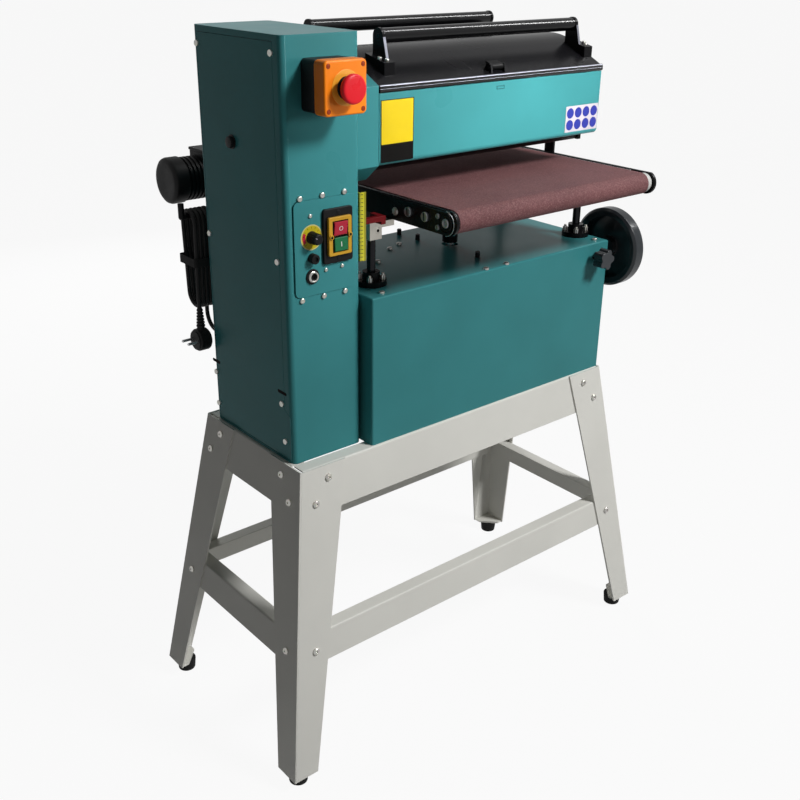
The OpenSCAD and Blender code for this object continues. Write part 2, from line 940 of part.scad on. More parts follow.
module estop_base() {
    color(black) difference() {
        sweep_y(-cab_front - estop_base_d, estop_base_d)
            translate([estop_x, estop_z])
                round_rect(estop_w - 2 * estop_step, estop_h - 2 * estop_step, estop_r);
        sweep_y(-cab_front - estop_base_d - cut, estop_base_d - estop_floor + cut)
            translate([estop_x, estop_z])
                round_rect(estop_w - 2 * estop_step - 2 * estop_wall,
                           estop_h - 2 * estop_step - 2 * estop_wall, estop_r);
    }
}

module estop_cover() {
    color(orange) difference() {
        sweep_y(-cab_front - estop_base_d - estop_cover_d, estop_cover_d)
            translate([estop_x, estop_z]) round_rect(estop_w, estop_h, estop_r);
        rod_y(-cab_front - estop_base_d - estop_cover_d - cut, estop_cover_d + 2 * cut,
              mushroom_neck_d + 2 * run_fit, estop_x, estop_z);
    }
}

module estop_button() {
    face = -cab_front - estop_base_d - estop_cover_d;
    color(red) translate([estop_x, face - mushroom_neck_l, estop_z]) rotate([90, 0, 0]) {
        rotate_extrude()
            polygon([[0, 0], [mushroom_d * half_share, 0],
                     [mushroom_d * half_share, mushroom_h * half_share],
                     [mushroom_d * (half_share - mushroom_round_share),
                      mushroom_h * (1 - quarter_share)],
                     [mushroom_d * quarter_share, mushroom_h], [0, mushroom_h]]);
        translate([0, 0, -mushroom_neck_l - estop_cover_d - mushroom_neck_in])
            cylinder(d = mushroom_neck_d, h = mushroom_neck_l + estop_cover_d + mushroom_neck_in + cut);
    }
}

// Head

module arm_outline(shrink) {
    polygon([[shrink - head_half, arm_bottom_z + arm_low_chamfer_z],
             [shrink - head_half, arm_top_z - arm_chamfer_z],
             [arm_chamfer_y - head_half, arm_top_z - shrink],
                 [arm_back - arm_chamfer_y, arm_top_z - shrink],
             [arm_back - shrink, arm_top_z - arm_chamfer_z],
             [arm_back - shrink, arm_bottom_z + arm_low_chamfer_z],
             [arm_back - arm_chamfer_y, arm_bottom_z + shrink],
             [arm_chamfer_y + arm_chamfer_y - head_half, arm_bottom_z + shrink],
             [arm_chamfer_y - head_half, arm_bottom_z + shrink + arm_step_z]]);
}

module head_arm() {
    color(teal) difference() {
        sweep_x(cab_right, arm_l) arm_outline(0);
        sweep_x(cab_right - cut, arm_l - 2 * arm_wall - bearing_w + cut) arm_outline(arm_wall);
        rod_x(cab_right - cut, arm_l - arm_wall + cut, bearing_d, 0, drum_at);
        rod_x(cab_right - cut, head_l, shaft_d + 2 * cut, 0, drum_at);
    }
}

// A panel's section: upright sheet, rolled lower edge and inward flange
module panel_section() {
    translate([-head_half, head_at + lip_r]) square([sheet_t, head_h - lip_r]);
    translate([lip_r - head_half, head_at]) square([lip_flange, sheet_t]);
    intersection() {
        translate([lip_r - head_half, head_at + lip_r]) difference() {
            circle(lip_r);
            circle(lip_r - sheet_t);
        }
        translate([-head_half, head_at]) square(lip_r);
    }
}

module head_panels() {
    color(teal) {
        difference() {
            sweep_x(head_left + gap, head_l - gap) panel_section();
            sweep_y(-head_half - cut, sheet_t + 2 * cut)
                translate([latch_x, head_top - keeper_drop]) square([keeper_w, keeper_h], center = true);
        }
        difference() {
            mirror([0, 1, 0]) sweep_x(head_left + gap, head_l - gap) panel_section();
            rod_y(head_half - sheet_t - cut, sheet_t + 2 * cut, spigot_d - 2 * spigot_wall, spigot_x,
                  spigot_z);
        }
    }
}

module head_end_plate() {
    inner = head_half - sheet_t;
    color(black) difference() {
        sweep_x(head_right - end_plate_t - lip_r, end_plate_t)
            polygon([[-inner, head_at + lip_r], [lip_r - inner, head_at + sheet_t + gap],
                     [inner - lip_r, head_at + sheet_t + gap], [inner, head_at + lip_r],
                     [inner, head_top], [-inner, head_top]]);
        rod_x(head_right - 2 * end_plate_t - lip_r, 3 * end_plate_t, bearing_d, 0, drum_at);
    }
    color(black) {
        translate([head_right - lip_r - cut, strap_y, strap_top - strap_foot_h])
            cube([lip_r + strap_gap + 2 * cut, strap_w, strap_foot_h]);
        translate([head_right + strap_gap, strap_y, strap_z])
            cube([strap_t, strap_w, strap_top - strap_z]);
    }
}

// Bearings: two on the drum shaft, two blocks on each lift shaft, and the bridge that holds the screw
module ring_x(x0, l, d, bore, y, z) {
    difference() {
        rod_x(x0, l, d, y, z);
        rod_x(x0 - cut, l + 2 * cut, bore, y, z);
    }
}

module bearings() {
    bore = 2 * shaft_r + 2 * run_fit;
    color(steel) {
        ring_x(bearing_seat_x, bearing_w, bearing_d, shaft_d + 2 * run_fit, 0, drum_at);
        ring_x(head_right - end_plate_t - lip_r, end_plate_t, bearing_d, shaft_d + 2 * run_fit, 0,
               drum_at);
        for (x = [screw_x + bevel_reach + block_off, box_right - sheet_t - block_t])
            difference() {
                translate([x, -wheel_y - block_w * half_share, wheel_at - block_w * half_share])
                    cube([block_t, block_w, box_top - sheet_t - wheel_at + block_w * half_share]);
                rod_x(x - cut, block_t + 2 * cut, bore, -wheel_y, wheel_at);
            }
        for (y = [-wheel_y + bevel_reach + block_off, -bevel_reach - block_off - block_t])
            difference() {
                translate([screw_x - block_w * half_share, y, wheel_at - block_w * half_share])
                    cube([block_w, block_t, box_top - sheet_t - wheel_at + block_w * half_share]);
                rod_y(y - cut, block_t + 2 * cut, bore, screw_x, wheel_at);
            }
        difference() {
            translate([screw_x - bridge_half, -block_w * half_share, bridge_z])
                cube([2 * bridge_half, block_w, box_top - sheet_t - bridge_z]);
            translate([screw_x - bridge_half + bridge_t, -block_w, bridge_z + bridge_plate_t])
                cube([2 * (bridge_half - bridge_t), 2 * block_w, box_h]);
            rod_z(bridge_z - cut, bridge_plate_t + 2 * cut, screw_d + 2 * run_fit, screw_x, 0);
        }
    }
}

module drum() {
    color(maroon) difference() {
        rod_x(head_mid - drum_l * half_share, drum_l, drum_d, 0, drum_at);
        rod_x(head_mid - drum_l * half_share + hub_t, drum_l - 2 * hub_t, drum_d - 2 * drum_wall, 0,
              drum_at);
        rod_x(head_mid - drum_l, 2 * drum_l, shaft_d, 0, drum_at);
    }
}

// A grooved belt pulley on an X axis
module vee_pulley(d, z) {
    translate([pulley_x - pulley_w * half_share, 0, z]) rotate([0, 90, 0]) rotate_extrude()
        polygon([[0, 0], [d * half_share, 0], [d * half_share,
                                               (pulley_w - drive_belt_w) * half_share - groove_lip],
                 [d * half_share - groove_d, (pulley_w - drive_belt_w) * half_share + groove_in],
                 [d * half_share - groove_d, (pulley_w + drive_belt_w) * half_share - groove_in],
                 [d * half_share, (pulley_w + drive_belt_w) * half_share + groove_lip],
                 [d * half_share, pulley_w], [0, pulley_w]]);
}

module drum_shaft() {
    right = head_right - lip_r + shaft_out;
    color(steel) difference() {
        union() {
            rod_x(pulley_x - pulley_w, right - pulley_x + pulley_w, shaft_d, 0, drum_at);
            vee_pulley(pulley_d, drum_at);
        }
        rod_x(pulley_x - pulley_w - cut, centre_hole_l, shaft_d * third_share, 0, drum_at);
    }
}

// The drive belt: a loop round both pulleys, in its grooves with a running gap
module belt_loop(grow) {
    upper = pulley_d * half_share - groove_d + gap + grow;
    lower = motor_pulley_d * half_share - groove_d + gap + grow;
    span = drum_at - motor_at;
    lean = asin((upper - lower) / span);
    translate([0, drum_at]) circle(upper);
    translate([0, motor_at]) circle(lower);
    polygon([[upper * cos(lean), drum_at + upper * sin(lean)],
             [-upper * cos(lean), drum_at + upper * sin(lean)],
             [-lower * cos(lean), motor_at + lower * sin(lean)],
             [lower * cos(lean), motor_at + lower * sin(lean)]]);
}

module drive_belt() {
    narrow = drive_belt_w - belt_taper;
    color(black) sweep_x(pulley_x - narrow * half_share, narrow) difference() {
        belt_loop(drive_belt_t);
        belt_loop(0);
    }
}

module main_motor() {
    color(black) difference() {
        union() {
            rod_x(motor_left, motor_l, motor_d, 0, motor_at);
            for (s = [-1, 1])
                translate([motor_left + motor_leg_in, s * motor_leg_y - motor_leg_w * half_share,
                           stand_h + gap])
                    cube([motor_l - 2 * motor_leg_in, motor_leg_w,
                          motor_at - stand_h - motor_d * quarter_share]);
            translate([motor_left + motor_bed_in, -box_front + sheet_t, stand_h])
                cube([motor_l - 2 * motor_bed_in, box_d - 2 * sheet_t, motor_foot_h]);
            translate([motor_left + motor_box_in, -motor_box_w * half_share,
                       motor_at + motor_d * quarter_share])
                cube([motor_box_l, motor_box_w, motor_d * half_share - motor_box_drop]);
        }
        rod_x(motor_left - cut, motor_l * third_share, motor_shaft_d + 2 * run_fit, 0, motor_at);
    }
}

module motor_pulley() {
    color(steel) {
        rod_x(pulley_x - pulley_w, motor_left + motor_l * quarter_share - pulley_x + pulley_w,
              motor_shaft_d,
              0, motor_at);
        vee_pulley(motor_pulley_d, motor_at);
    }
}

// Hood

function flank_z(y) = hood_flat_top + (head_half - hood_edge_in - abs(y)) * tan(hood_slope);

module hood_outline(t) {
    side = head_half - t;
    polygon([[-side, head_top + gap - cut * (t > 0 ? 1 : 0)], [-side, head_top + hood_edge_h],
             [hood_edge_in + t - head_half, hood_flat_top - t], [-hood_tan_y, hood_tan_z - t],
             [hood_tan_y, hood_tan_z - t], [head_half - hood_edge_in - t, hood_flat_top - t],
             [side, head_top + hood_edge_h], [side, head_top + gap - cut * (t > 0 ? 1 : 0)]]);
    intersection() {
        translate([0, hood_arc_z]) circle(hood_arc_r - t);
        translate([-hood_tan_y, hood_tan_z - t - cut]) square([2 * hood_tan_y, hood_arc_r]);
    }
}

module hinge_knuckle(x, w) {
    rod_x(x - w * half_share, w, 2 * hinge_r, hinge_y, hinge_z);
}

module hood() {
    color(black) difference() {
        union() {
            difference() {
                sweep_x(head_left + gap, head_l - gap) hood_outline(0);
                sweep_x(head_left + gap + hood_t, head_l - gap - 2 * hood_t) hood_outline(hood_t);
            }
            for (z = [head_top + gap + trim_r, head_top + hood_edge_h])
                rod_x(head_left + gap, head_l - gap, 2 * trim_r, hood_t * half_share - head_half, z);
            for (x = hinge_xs) {
                hinge_knuckle(x, hinge_w);
                translate([x - hinge_w * half_share, head_half - hood_t, hinge_z])
                    cube([hinge_w, hinge_y - head_half + hood_t, hinge_r]);
            }
            for (x = [latch_x - latch_half - gap - latch_ear_t, latch_x + latch_half + gap])
                sweep_x(x, latch_ear_t)
                    polygon([[-latch_y - ear_foot, flank_z(latch_y + ear_foot) - hood_t],
                             [-latch_y - ear_top, latch_z + ear_top],
                                 [-latch_y + ear_top, latch_z + ear_top],
                             [-latch_y + ear_back, flank_z(latch_y - ear_back) - hood_t]]);
        }
        for (x = hinge_xs) hinge_bore(x);
        rod_x(latch_x - latch_w, 2 * latch_w, latch_pin_d + 2 * run_fit, -latch_y, latch_z);
    }
}

module hinge_bore(x) {
    rod_x(x - hinge_w, 2 * hinge_w, hinge_pin_d + 2 * run_fit, hinge_y, hinge_z);
}

// The fixed halves of the hood's hinges, each with its pin
module hood_hinges() {
    ear = hinge_ear;
    color(black) for (x = hinge_xs) {
        span = hinge_w + 2 * hinge_gap + 2 * ear;
        rod_x(x - span * half_share, span, hinge_pin_d, hinge_y, hinge_z);
        for (s = [-1, 1]) {
            rod_x(x + s * (span - ear) * half_share - ear * half_share, ear, 2 * hinge_r, hinge_y,
                  hinge_z);
            translate([x + s * (span - ear) * half_share - ear * half_share, head_half,
                       head_top - hinge_leaf_h])
                cube([ear, hinge_out + hinge_leaf_over, hinge_up + hinge_leaf_h]);
        }
        translate([x - span * half_share, head_half, head_top - hinge_leaf_h])
            cube([span, hinge_leaf_t, hinge_leaf_h - hinge_r]);
    }
}

module hood_latch() {
    color(black) {
        rod_x(latch_x - latch_half - gap - latch_ear_t, latch_w + 2 * gap + 2 * latch_ear_t,
              latch_pin_d,
              -latch_y, latch_z);
        sweep_x(latch_x - latch_half, latch_w) {
            translate([-latch_y, latch_z]) circle(latch_t);
            polygon([[-latch_y - latch_t, latch_z], [-latch_y, latch_z + latch_t],
                     [-latch_y + latch_l * half_share, latch_z + latch_t + latch_tip],
                     [-latch_y + latch_l * half_share, latch_z + latch_t],
                     [-latch_y, latch_z]]);
        }
    }
}

// Return rollers and their brackets

module roller_brackets() {
    front = bar_front + bracket_foot_half;
    color(black) for (right = [0, 1]) {
        x = right == 1 ? bracket_right - bracket_t : bracket_left;
        foot_x = right == 1 ? x : bracket_left + bracket_t - bracket_foot_l;
        difference() {
            union() {
                sweep_x(x, bracket_t) {
                    translate([-bar_front, bar_at]) circle(bracket_top_half);
                    polygon([[-bar_front - bracket_top_half, bar_at],
                             [bracket_top_half - bar_front, bar_at],
                             [-hood_tan_y, flank_z(hood_tan_y)],
                             [bracket_edge - front, flank_z(front - bracket_edge)]]);
                }
                sweep_x(foot_x, bracket_foot_l)
                    polygon([[-front, flank_z(front)], [-front, flank_z(front) + bracket_foot_h],
                             [-hood_tan_y, flank_z(hood_tan_y) + bracket_foot_h * third_share],
                             [-hood_tan_y, flank_z(hood_tan_y)]]);
            }
            rod_x(x - cut, bracket_t + 2 * cut, bar_pin_d + 2 * run_fit, -bar_front, bar_at);
        }
    }
}

module return_roller(y, inset) {
    left = bracket_left + inset;
    l = bracket_right - bracket_left - 2 * inset;
    rod_x(left + bracket_t + gap, l - 2 * bracket_t - 2 * gap, bar_d, y, bar_at);
    rod_x(left, l, bar_pin_d, y, bar_at);
}

module front_return_roller() {
    color(black) return_roller(-bar_front, 0);
}

module rear_roller_brackets() {
    color(black) for (x = [bracket_left + rear_in, bracket_right - bracket_t - rear_in])
        difference() {
            union() {
                sweep_x(x, bracket_t) {
                    translate([bar_rear, bar_at]) circle(bracket_top_half);
                    polygon([[bar_rear - bracket_top_half, bar_at], [bar_rear + bracket_top_half, bar_at],
                             [bar_rear + bracket_top_half, head_top],
                             [head_half + rear_bracket_foot, rear_bracket_low],
                                 [head_half, rear_bracket_low],
                             [head_half, head_top - rear_bracket_step],
                             [bar_rear - rear_notch, head_top - rear_bracket_step],
                             [bar_rear - rear_notch, hinge_z + rear_notch_up]]);
                }
                translate([x, head_half, rear_bracket_low])
                    cube([bracket_foot_l * half_share, rear_pad_t, rear_pad_h]);
            }
            rod_x(x - cut, bracket_t + 2 * cut, bar_pin_d + 2 * run_fit, bar_rear, bar_at);
        }
}

module rear_return_roller() {
    color(black) return_roller(bar_rear, rear_in);
}

module dust_spigot() {
    color(black) difference() {
        union() {
            rod_y(head_half, spigot_l, spigot_d, spigot_x, spigot_z);
            rod_y(head_half, spigot_flange_t, spigot_flange_d, spigot_x, spigot_z);
        }
        rod_y(head_half - cut, spigot_l + 2 * cut, spigot_d - 2 * spigot_wall, spigot_x, spigot_z);
    }
}

// Pressure rollers before and behind the drum, on hangers under the arm wall and the end plate
module pressure_hangers() {
    low = press_z - hanger_w * half_share + hanger_trim;
    right_x = head_right - end_plate_t - lip_r - hanger_t;
    color(black) for (s = [-1, 1], x = [head_left, right_x])
        difference() {
            translate([x, s * press_y - hanger_w * half_share, low])
                cube([hanger_t, hanger_w, head_at + hanger_up - low]);
            rod_x(x - cut, hanger_t + 2 * cut, press_pin_d + 2 * run_fit, s * press_y, press_z);
        }
}

module press_roller(y) {
    left = head_left + hanger_t;
    right = head_right - end_plate_t - lip_r - hanger_t;
    rod_x(left + gap, right - left - 2 * gap, press_d, y, press_z);
    rod_x(left - hanger_t, right - left + 2 * hanger_t, press_pin_d, y, press_z);
}

module front_pressure_roller() {
    color(steel) press_roller(-press_y);
}

module rear_pressure_roller() {
    color(steel) press_roller(press_y);
}

// Feed table

module stadium(r, reach) {
    translate([-reach, roller_z]) circle(r);
    translate([reach, roller_z]) circle(r);
    translate([-reach, roller_z - r]) square([2 * reach, 2 * r]);
}

module side_plates() {
    color(black) for (x = [-table_left, table_right - plate_t])
        difference() {
            sweep_x(x, plate_t) stadium(plate_half_h, roller_y + plate_nose);
            translate([x - cut, -plate_reach, table_at - plate_drop])
                cube([plate_t + 2 * cut, 2 * plate_reach, plate_half_h]);
            for (y = [-roller_y, roller_y])
                rod_x(x - cut, plate_t + 2 * cut, axle_d + 2 * run_fit, y, roller_z);
        }
    color(black) sweep_x(-table_left - nose_plate_t, nose_plate_t) difference() {
        translate([nose_plate_l * half_share - roller_y - nose_out, roller_z])
            round_rect(nose_plate_l, 2 * plate_half_h - 2 * nose_edge, nose_r);
        translate([-roller_y, roller_z]) circle(d = axle_d + axle_ring);
    }
}

module plate_screws() {
    color(zinc) {
        for (p = plate_marks)
            head_left_face(-table_left - nose_plate_t, p[0] - roller_y, roller_z + p[1], p[2],
                           plate_screw_h);
        for (s = [-1, 1])
            head_left_face(-table_left - nose_plate_t, small_screw_in - roller_y,
                           roller_z + s * small_screw_off,
                           small_screw_d, plate_screw_h);
    }
}

module bed_plate() {
    top = table_at - belt_t - belt_gap;
    color(steel) difference() {
        translate([plate_t - table_left, -bed_half, top - bed_skirt])
            cube([table_w - 2 * plate_t, 2 * bed_half, bed_skirt]);
        translate([plate_t - table_left - cut, bed_t - bed_half, top - bed_skirt - cut])
            cube([table_w, 2 * bed_half - 2 * bed_t, bed_skirt - bed_t + cut]);
    }
}

module feed_roller(y) {
    left = plate_t + roller_gap - table_left;
    rod_x(left, roller_l, roller_d, y, roller_z);
    rod_x(-table_left, table_w, axle_d, y, roller_z);
}

module drive_roller() {
    color(steel) {
        feed_roller(roller_y);
        rod_x(-table_left - gearbox_l * half_share, gearbox_l, axle_d, roller_y, roller_z);
    }
}

module idler_roller() {
    color(steel) feed_roller(-roller_y);
}

module feed_belt() {
    inner = roller_d * half_share + belt_gap;
    color(maroon) sweep_x(belt_left, belt_w) difference() {
        stadium(inner + belt_t, roller_y);
        stadium(inner, roller_y);
    }
}

// Guide posts, their clamps under the table and their flanges on the box

module guide_posts() {
    color(black) for (x = [post_left_x, post_right_x], s = [-1, 1])
        rod_z(post_low, post_top - post_low, post_d, x, s * post_y);
}

module post_clamps() {
    color(zinc) for (right = [0, 1], s = [-1, 1]) {
        x = right == 1 ? post_right_x : post_left_x;
        arm_left = right == 1 ? x - clamp_w * half_share : x;
        arm_right = right == 1 ? table_right : plate_t - table_left;
        difference() {
            union() {
                translate([x - clamp_w * half_share, s * post_y - clamp_w * half_share,
                           clamp_top - clamp_h])
                    cube([clamp_w, clamp_w, clamp_h]);
                translate([arm_left, s * post_y - clamp_w * half_share, bar_top - clamp_arm_h])
                    cube([arm_right - arm_left, clamp_w, clamp_arm_h]);
            }
            rod_z(clamp_top - clamp_h - cut, post_top - clamp_top + clamp_h + cut, post_d, x,
                  s * post_y);
        }
    }
}

module post_flanges() {
    color(black) for (x = [post_left_x, post_right_x], s = [-1, 1])
        difference() {
            union() {
                rod_z(box_top, flange_t, flange_d, x, s * post_y);
                rod_z(box_top, flange_h, flange_bush_d, x, s * post_y);
                rod_z(box_top - flange_h, flange_h, flange_bush_d, x, s * post_y);
                for (a = [45 : 90 : 315])
                    translate([x, s * post_y, box_top + flange_t]) rotate([0, 0, a])
                        translate([flange_d * half_share * flange_nut_share, 0, 0])
                            cylinder(d = flange_nut_d, h = flange_nut_h, $fn = 6);
            }
            rod_z(box_top - flange_h - cut, 2 * flange_h + 2 * cut, post_d + 2 * run_fit, x, s * post_y);
        }
}

// The bar under the belt that the lift screw's long nut hangs from
module lift_bar() {
    color(black) difference() {
        translate([-table_left, -bar_w * half_share, bar_top - bar_h]) cube([table_w, bar_w, bar_h]);
        rod_z(bar_top - bar_h - cut, bar_h + 2 * cut, nut_od, screw_x, 0);
    }
    color(steel) difference() {
        union() {
            rod_z(nut_low, bar_top - nut_low - nut_flange_t, nut_od, screw_x, 0);
            rod_z(bar_top - bar_h - nut_flange_t, nut_flange_t, nut_flange_d, screw_x, 0);
        }
        rod_z(nut_low - cut, bar_top - nut_low + cut, screw_d + 2 * run_fit, screw_x, 0);
    }
}

// A bevel gear without teeth: a cone whose small end looks along +Z
module bevel() {
    cylinder(r1 = bevel_r, r2 = bevel_low_r, h = bevel_h);
}

module lift_screw() {
    color(steel) translate([screw_x, 0, 0]) {
        translate([0, 0, screw_low]) cylinder(d = screw_d, h = screw_top - screw_low);
        translate([0, 0, wheel_at - bevel_reach]) bevel();
        translate([0, 0, screw_low - nut_flange_t]) cylinder(d = screw_d + bevel_r, h = nut_flange_t);
    }
}

module cross_shaft() {
    start = -wheel_y + bevel_reach;
    color(steel) {
        rod_y(start, wheel_y - 2 * bevel_reach, 2 * shaft_r, screw_x, wheel_at);
        translate([screw_x, start, wheel_at]) rotate([90, 0, 0]) bevel();
        translate([screw_x, -bevel_reach, wheel_at]) rotate([-90, 0, 0]) bevel();
    }
}

// Handwheel with its shaft and bevel gear

module handwheel() {
    rim = wheel_d * half_share;
    color(black) translate([wheel_in, -wheel_y, wheel_at]) rotate([0, 90, 0]) rotate_extrude()
        polygon([[0, 0], [wheel_hub_d * half_share, 0],
                 [wheel_hub_d * half_share, wheel_w * half_share],
                 [rim - wheel_rim_t, wheel_w * (1 - quarter_share) - wheel_disc_t * half_share],
                 [rim - wheel_rim_t, wheel_disc_t * half_share],
                 [rim - wheel_rim_t * third_share, 0],
                 [rim, wheel_rim_t * quarter_share], [rim, wheel_w - wheel_rim_t * quarter_share],
                 [rim - wheel_rim_t * third_share, wheel_w],
                 [rim - wheel_rim_t, wheel_w * (1 - quarter_share) + wheel_disc_t * half_share],
                 [wheel_hub_d * half_share, wheel_w], [0, wheel_w]]);
    color(steel) {
        rod_x(screw_x + bevel_reach, wheel_in + wheel_w - wheel_cap - screw_x - bevel_reach, 2 * shaft_r,
              -wheel_y, wheel_at);
        translate([screw_x + bevel_reach, -wheel_y, wheel_at]) rotate([0, -90, 0]) bevel();
    }
}

module lock_knob() {
    face = -box_front - star_stem_l;
    lobe_off = (star_d - star_lobe_d) * half_share;
    color(black) {
        rod_y(face - cut, star_stem_l + star_stem_d + cut, star_stem_d, knob_x_lock, knob_z_lock);
        sweep_y(face - star_l, star_l) translate([knob_x_lock, knob_z_lock]) {
            circle(d = 2 * lobe_off + star_lobe_d * quarter_share);
            for (i = [0 : star_lobes - 1])
                rotate(i * 360 / star_lobes) translate([lobe_off, 0]) circle(d = star_lobe_d);
        }
    }
}

// Depth scale on the cabinet's right side, and the pointer that rides on the table's clamp

module depth_scale() {
    back = scale_leg - cab_front;
    color(yellow) translate([0, 0, scale_low]) linear_extrude(scale_h)
        polygon([[cab_right, -cab_front + scale_t], [cab_right + scale_w, -cab_front + scale_t],
                 [cab_right + scale_w, -cab_front + 2 * scale_t],
                     [cab_right + scale_t, -cab_front + 2 * scale_t],
                 [cab_right + scale_t, back], [cab_right, back]]);
}

module depth_pointer() {
    front = pointer_in - cab_front;
    left = cab_right + pointer_gap;
    right = post_left_x + pointer_past_post;
    color(dark_red) {
        translate([0, 0, pointer_z]) linear_extrude(pointer_t)
            polygon([[left, front + pointer_w * half_share], [left + pointer_tip, front], [right, front],
                     [right, pointer_w + front], [left + pointer_tip, pointer_w + front]]);
        translate([right - pointer_w, front, clamp_top])
            cube([pointer_w, -post_y - front, pointer_z + pointer_t - clamp_top]);
    }
}

// Feed motor and its gearbox behind the cabinet

module feed_gearmotor() {
    axis_y = roller_y - gearbox_y;
    axis_z = roller_z + gearbox_up;
    right = -table_left;
    color(zinc) difference() {
        sweep_x(right - gearbox_l, gearbox_l)
            translate([axis_y + gearbox_y * half_share - gearbox_shift,
                       axis_z - gearbox_up * half_share])
                round_rect(gearbox_w, gearbox_w, gearbox_corner);
        rod_x(right - gearbox_l * half_share - gearbox_axle_in, gearbox_l, axle_d + 2 * run_fit,
              roller_y, roller_z);
    }
    color(black) {
        rod_x(right - gearbox_l - feed_motor_l, feed_motor_l, feed_motor_d - feed_body_step, axis_y,
              axis_z);
        rod_x(right - gearbox_l - feed_motor_l - feed_cap_l, feed_cap_l, feed_motor_d, axis_y, axis_z);
        translate([right - gearbox_l - feed_motor_l + feed_box_in, axis_y - feed_box_w * half_share,
                   axis_z])
            cube([feed_box_l, feed_box_w, feed_motor_d * half_share + feed_box_h]);
    }
}

// Mains cord: gland and hook on the cabinet's back, the hank over the hook, and the plug

module cord_fittings() {
    color(black) {
        difference() {
            union() {
                rod_y(cab_back, gland_nut_t, gland_d + gland_nut_rim, hank_x, gland_z);
                translate([hank_x, cab_back + gland_nut_t, gland_z]) rotate([-90, 0, 0])
                    cylinder(d1 = gland_d, d2 = cord_d + gland_tip, h = gland_l - gland_nut_t);
            }
            rod_y(cab_back - cut, gland_l + 2 * cut, cord_d, hank_x, gland_z);
        }
        rod_y(cab_back, loop_y - cab_back, hook_d, hook_in_x, hook_z);
        rod_x(hook_tip_x(), hook_in_x - hook_tip_x(), hook_d, loop_y, hook_z);
        translate([hook_in_x, loop_y, hook_z]) sphere(d = hook_d);
        rod_z(hook_z, hook_tip_h, hook_d, hook_tip_x(), loop_y);
        translate([hook_tip_x(), loop_y, hook_z]) sphere(d = hook_d);
        translate([hook_in_x - hook_plate * half_share, cab_back, hook_z - hook_plate * half_share])
            cube([hook_plate, hook_plate_t, hook_plate]);
    }
}

function hook_tip_x() = hank_x - hank_w - cord_d * half_share - hook_d * half_share - cut;

// A closed tube of triangles along points, with square ends
function unit(v) = v / norm(v);
function tangent(p, i) = unit(p[min(i + 1, len(p) - 1)] - p[max(i - 1, 0)]);
function ring(c, t, r) =
    let (u = unit(cross(t, [1, 0, 0])), v = cross(t, u))
        [for (k = [0 : cord_sides - 1]) let (a = k * 360 / cord_sides) c + r * (cos(a) * u + sin(a) * v)];

module tube(points, d) {
    n = len(points);
    rings = [for (i = [0 : n - 1]) each ring(points[i], tangent(points, i), d * half_share)];
    sides = [for (i = [0 : n - 2], k = [0 : cord_sides - 1])
        let (a = i * cord_sides + k, b = i * cord_sides + (k + 1) % cord_sides)
            each [[a, b, a + cord_sides], [b, b + cord_sides, a + cord_sides]]];
    first = [for (k = [1 : cord_sides - 2]) [0, k + 1, k]];
    last = [for (k = [1 : cord_sides - 2]) let (m = (n - 1) * cord_sides) [m, m + k, m + k + 1]];
    polyhedron(rings, concat(sides, first, last));
}

// One loop of the hank, from the foot of the rear run: up, over the hook, down the front run and round
run_l = loop_high - loop_low;
loop_len = 2 * run_l + 2 * PI * loop_r;
loop_yz = concat(
    [for (i = [0 : run_steps - 1]) [loop_y + loop_r, loop_low + run_l * i / run_steps,
                                    run_l * i / run_steps]],
    [for (i = [0 : bend_steps - 1]) let (a = 180 * i / bend_steps)
        [loop_y + loop_r * cos(a), loop_high + loop_r * sin(a), run_l + PI * loop_r * i / bend_steps]],
    [for (i = [0 : run_steps - 1])
        [loop_y - loop_r, loop_high - run_l * i / run_steps,
         run_l + PI * loop_r + run_l * i / run_steps]],
    [for (i = [0 : bend_steps - 1]) let (a = 180 + 180 * i / bend_steps)
        [loop_y + loop_r * cos(a), loop_low + loop_r * sin(a),
         2 * run_l + PI * loop_r + PI * loop_r * i / bend_steps]]);
loop_n = len(loop_yz);
last_n = 2 * run_steps + bend_steps;
// The loops lie side by side, one pitch apart
hank_total = cord_loops * loop_len + 2 * run_l + PI * loop_r;
hank_w = loop_pitch * hank_total / loop_len;
hank_points = [for (i = [0 : cord_loops * loop_n + last_n])
    let (p = loop_yz[i % loop_n], s = floor(i / loop_n) * loop_len + p[2])
        [hank_x - hank_w * s / hank_total, p[0], p[1]]];
// Straight end pieces, one cord diameter long, square to what they meet
hank_foot = hank_points[len(hank_points) - 1] - [0, 0, cord_d];
hank_route = concat([hank_points[0] - [0, 0, cord_d]], hank_points, [hank_foot]);
hank_end = hank_route[len(hank_route) - 1];

// Least distance between parts of the hank that are at least a third of a loop apart along it
hank_last = len(hank_points) - 1;
hank_gap = min([for (i = [0 : hank_last], j = [i + third_loop_steps : 1 : hank_last])
    norm(hank_points[i] - hank_points[j])]) - cord_d;
echo(hank_self_gap = hank_gap);

module cord_hank() {
    color(black) tube(hank_route, cord_d);
}

// The lead from the gland up to the hank, and the tail from the hank down to the plug
lead_y = loop_y + loop_r;
lead_start = cab_back + gland_l;
lead_route = concat(
    [[hank_x, lead_start - lead_in, gland_z], [hank_x, lead_start, gland_z]],
    [for (i = [0 : bend_steps]) let (a = -90 + 90 * i / bend_steps)
        [hank_x, lead_y - lead_turn_r + lead_turn_r * cos(a),
         gland_z + lead_turn_r + lead_turn_r * sin(a)]],
    [[hank_x, lead_y, loop_low - cord_d]]);
tail_end = [hank_end[0], hank_end[1], tail_end_z];
tail_route = [hank_end, (hank_end + tail_end) * half_share, tail_end];

module cord_ends() {
    color(black) {
        tube(lead_route, cord_d);
        tube(tail_route, cord_d);
    }
}

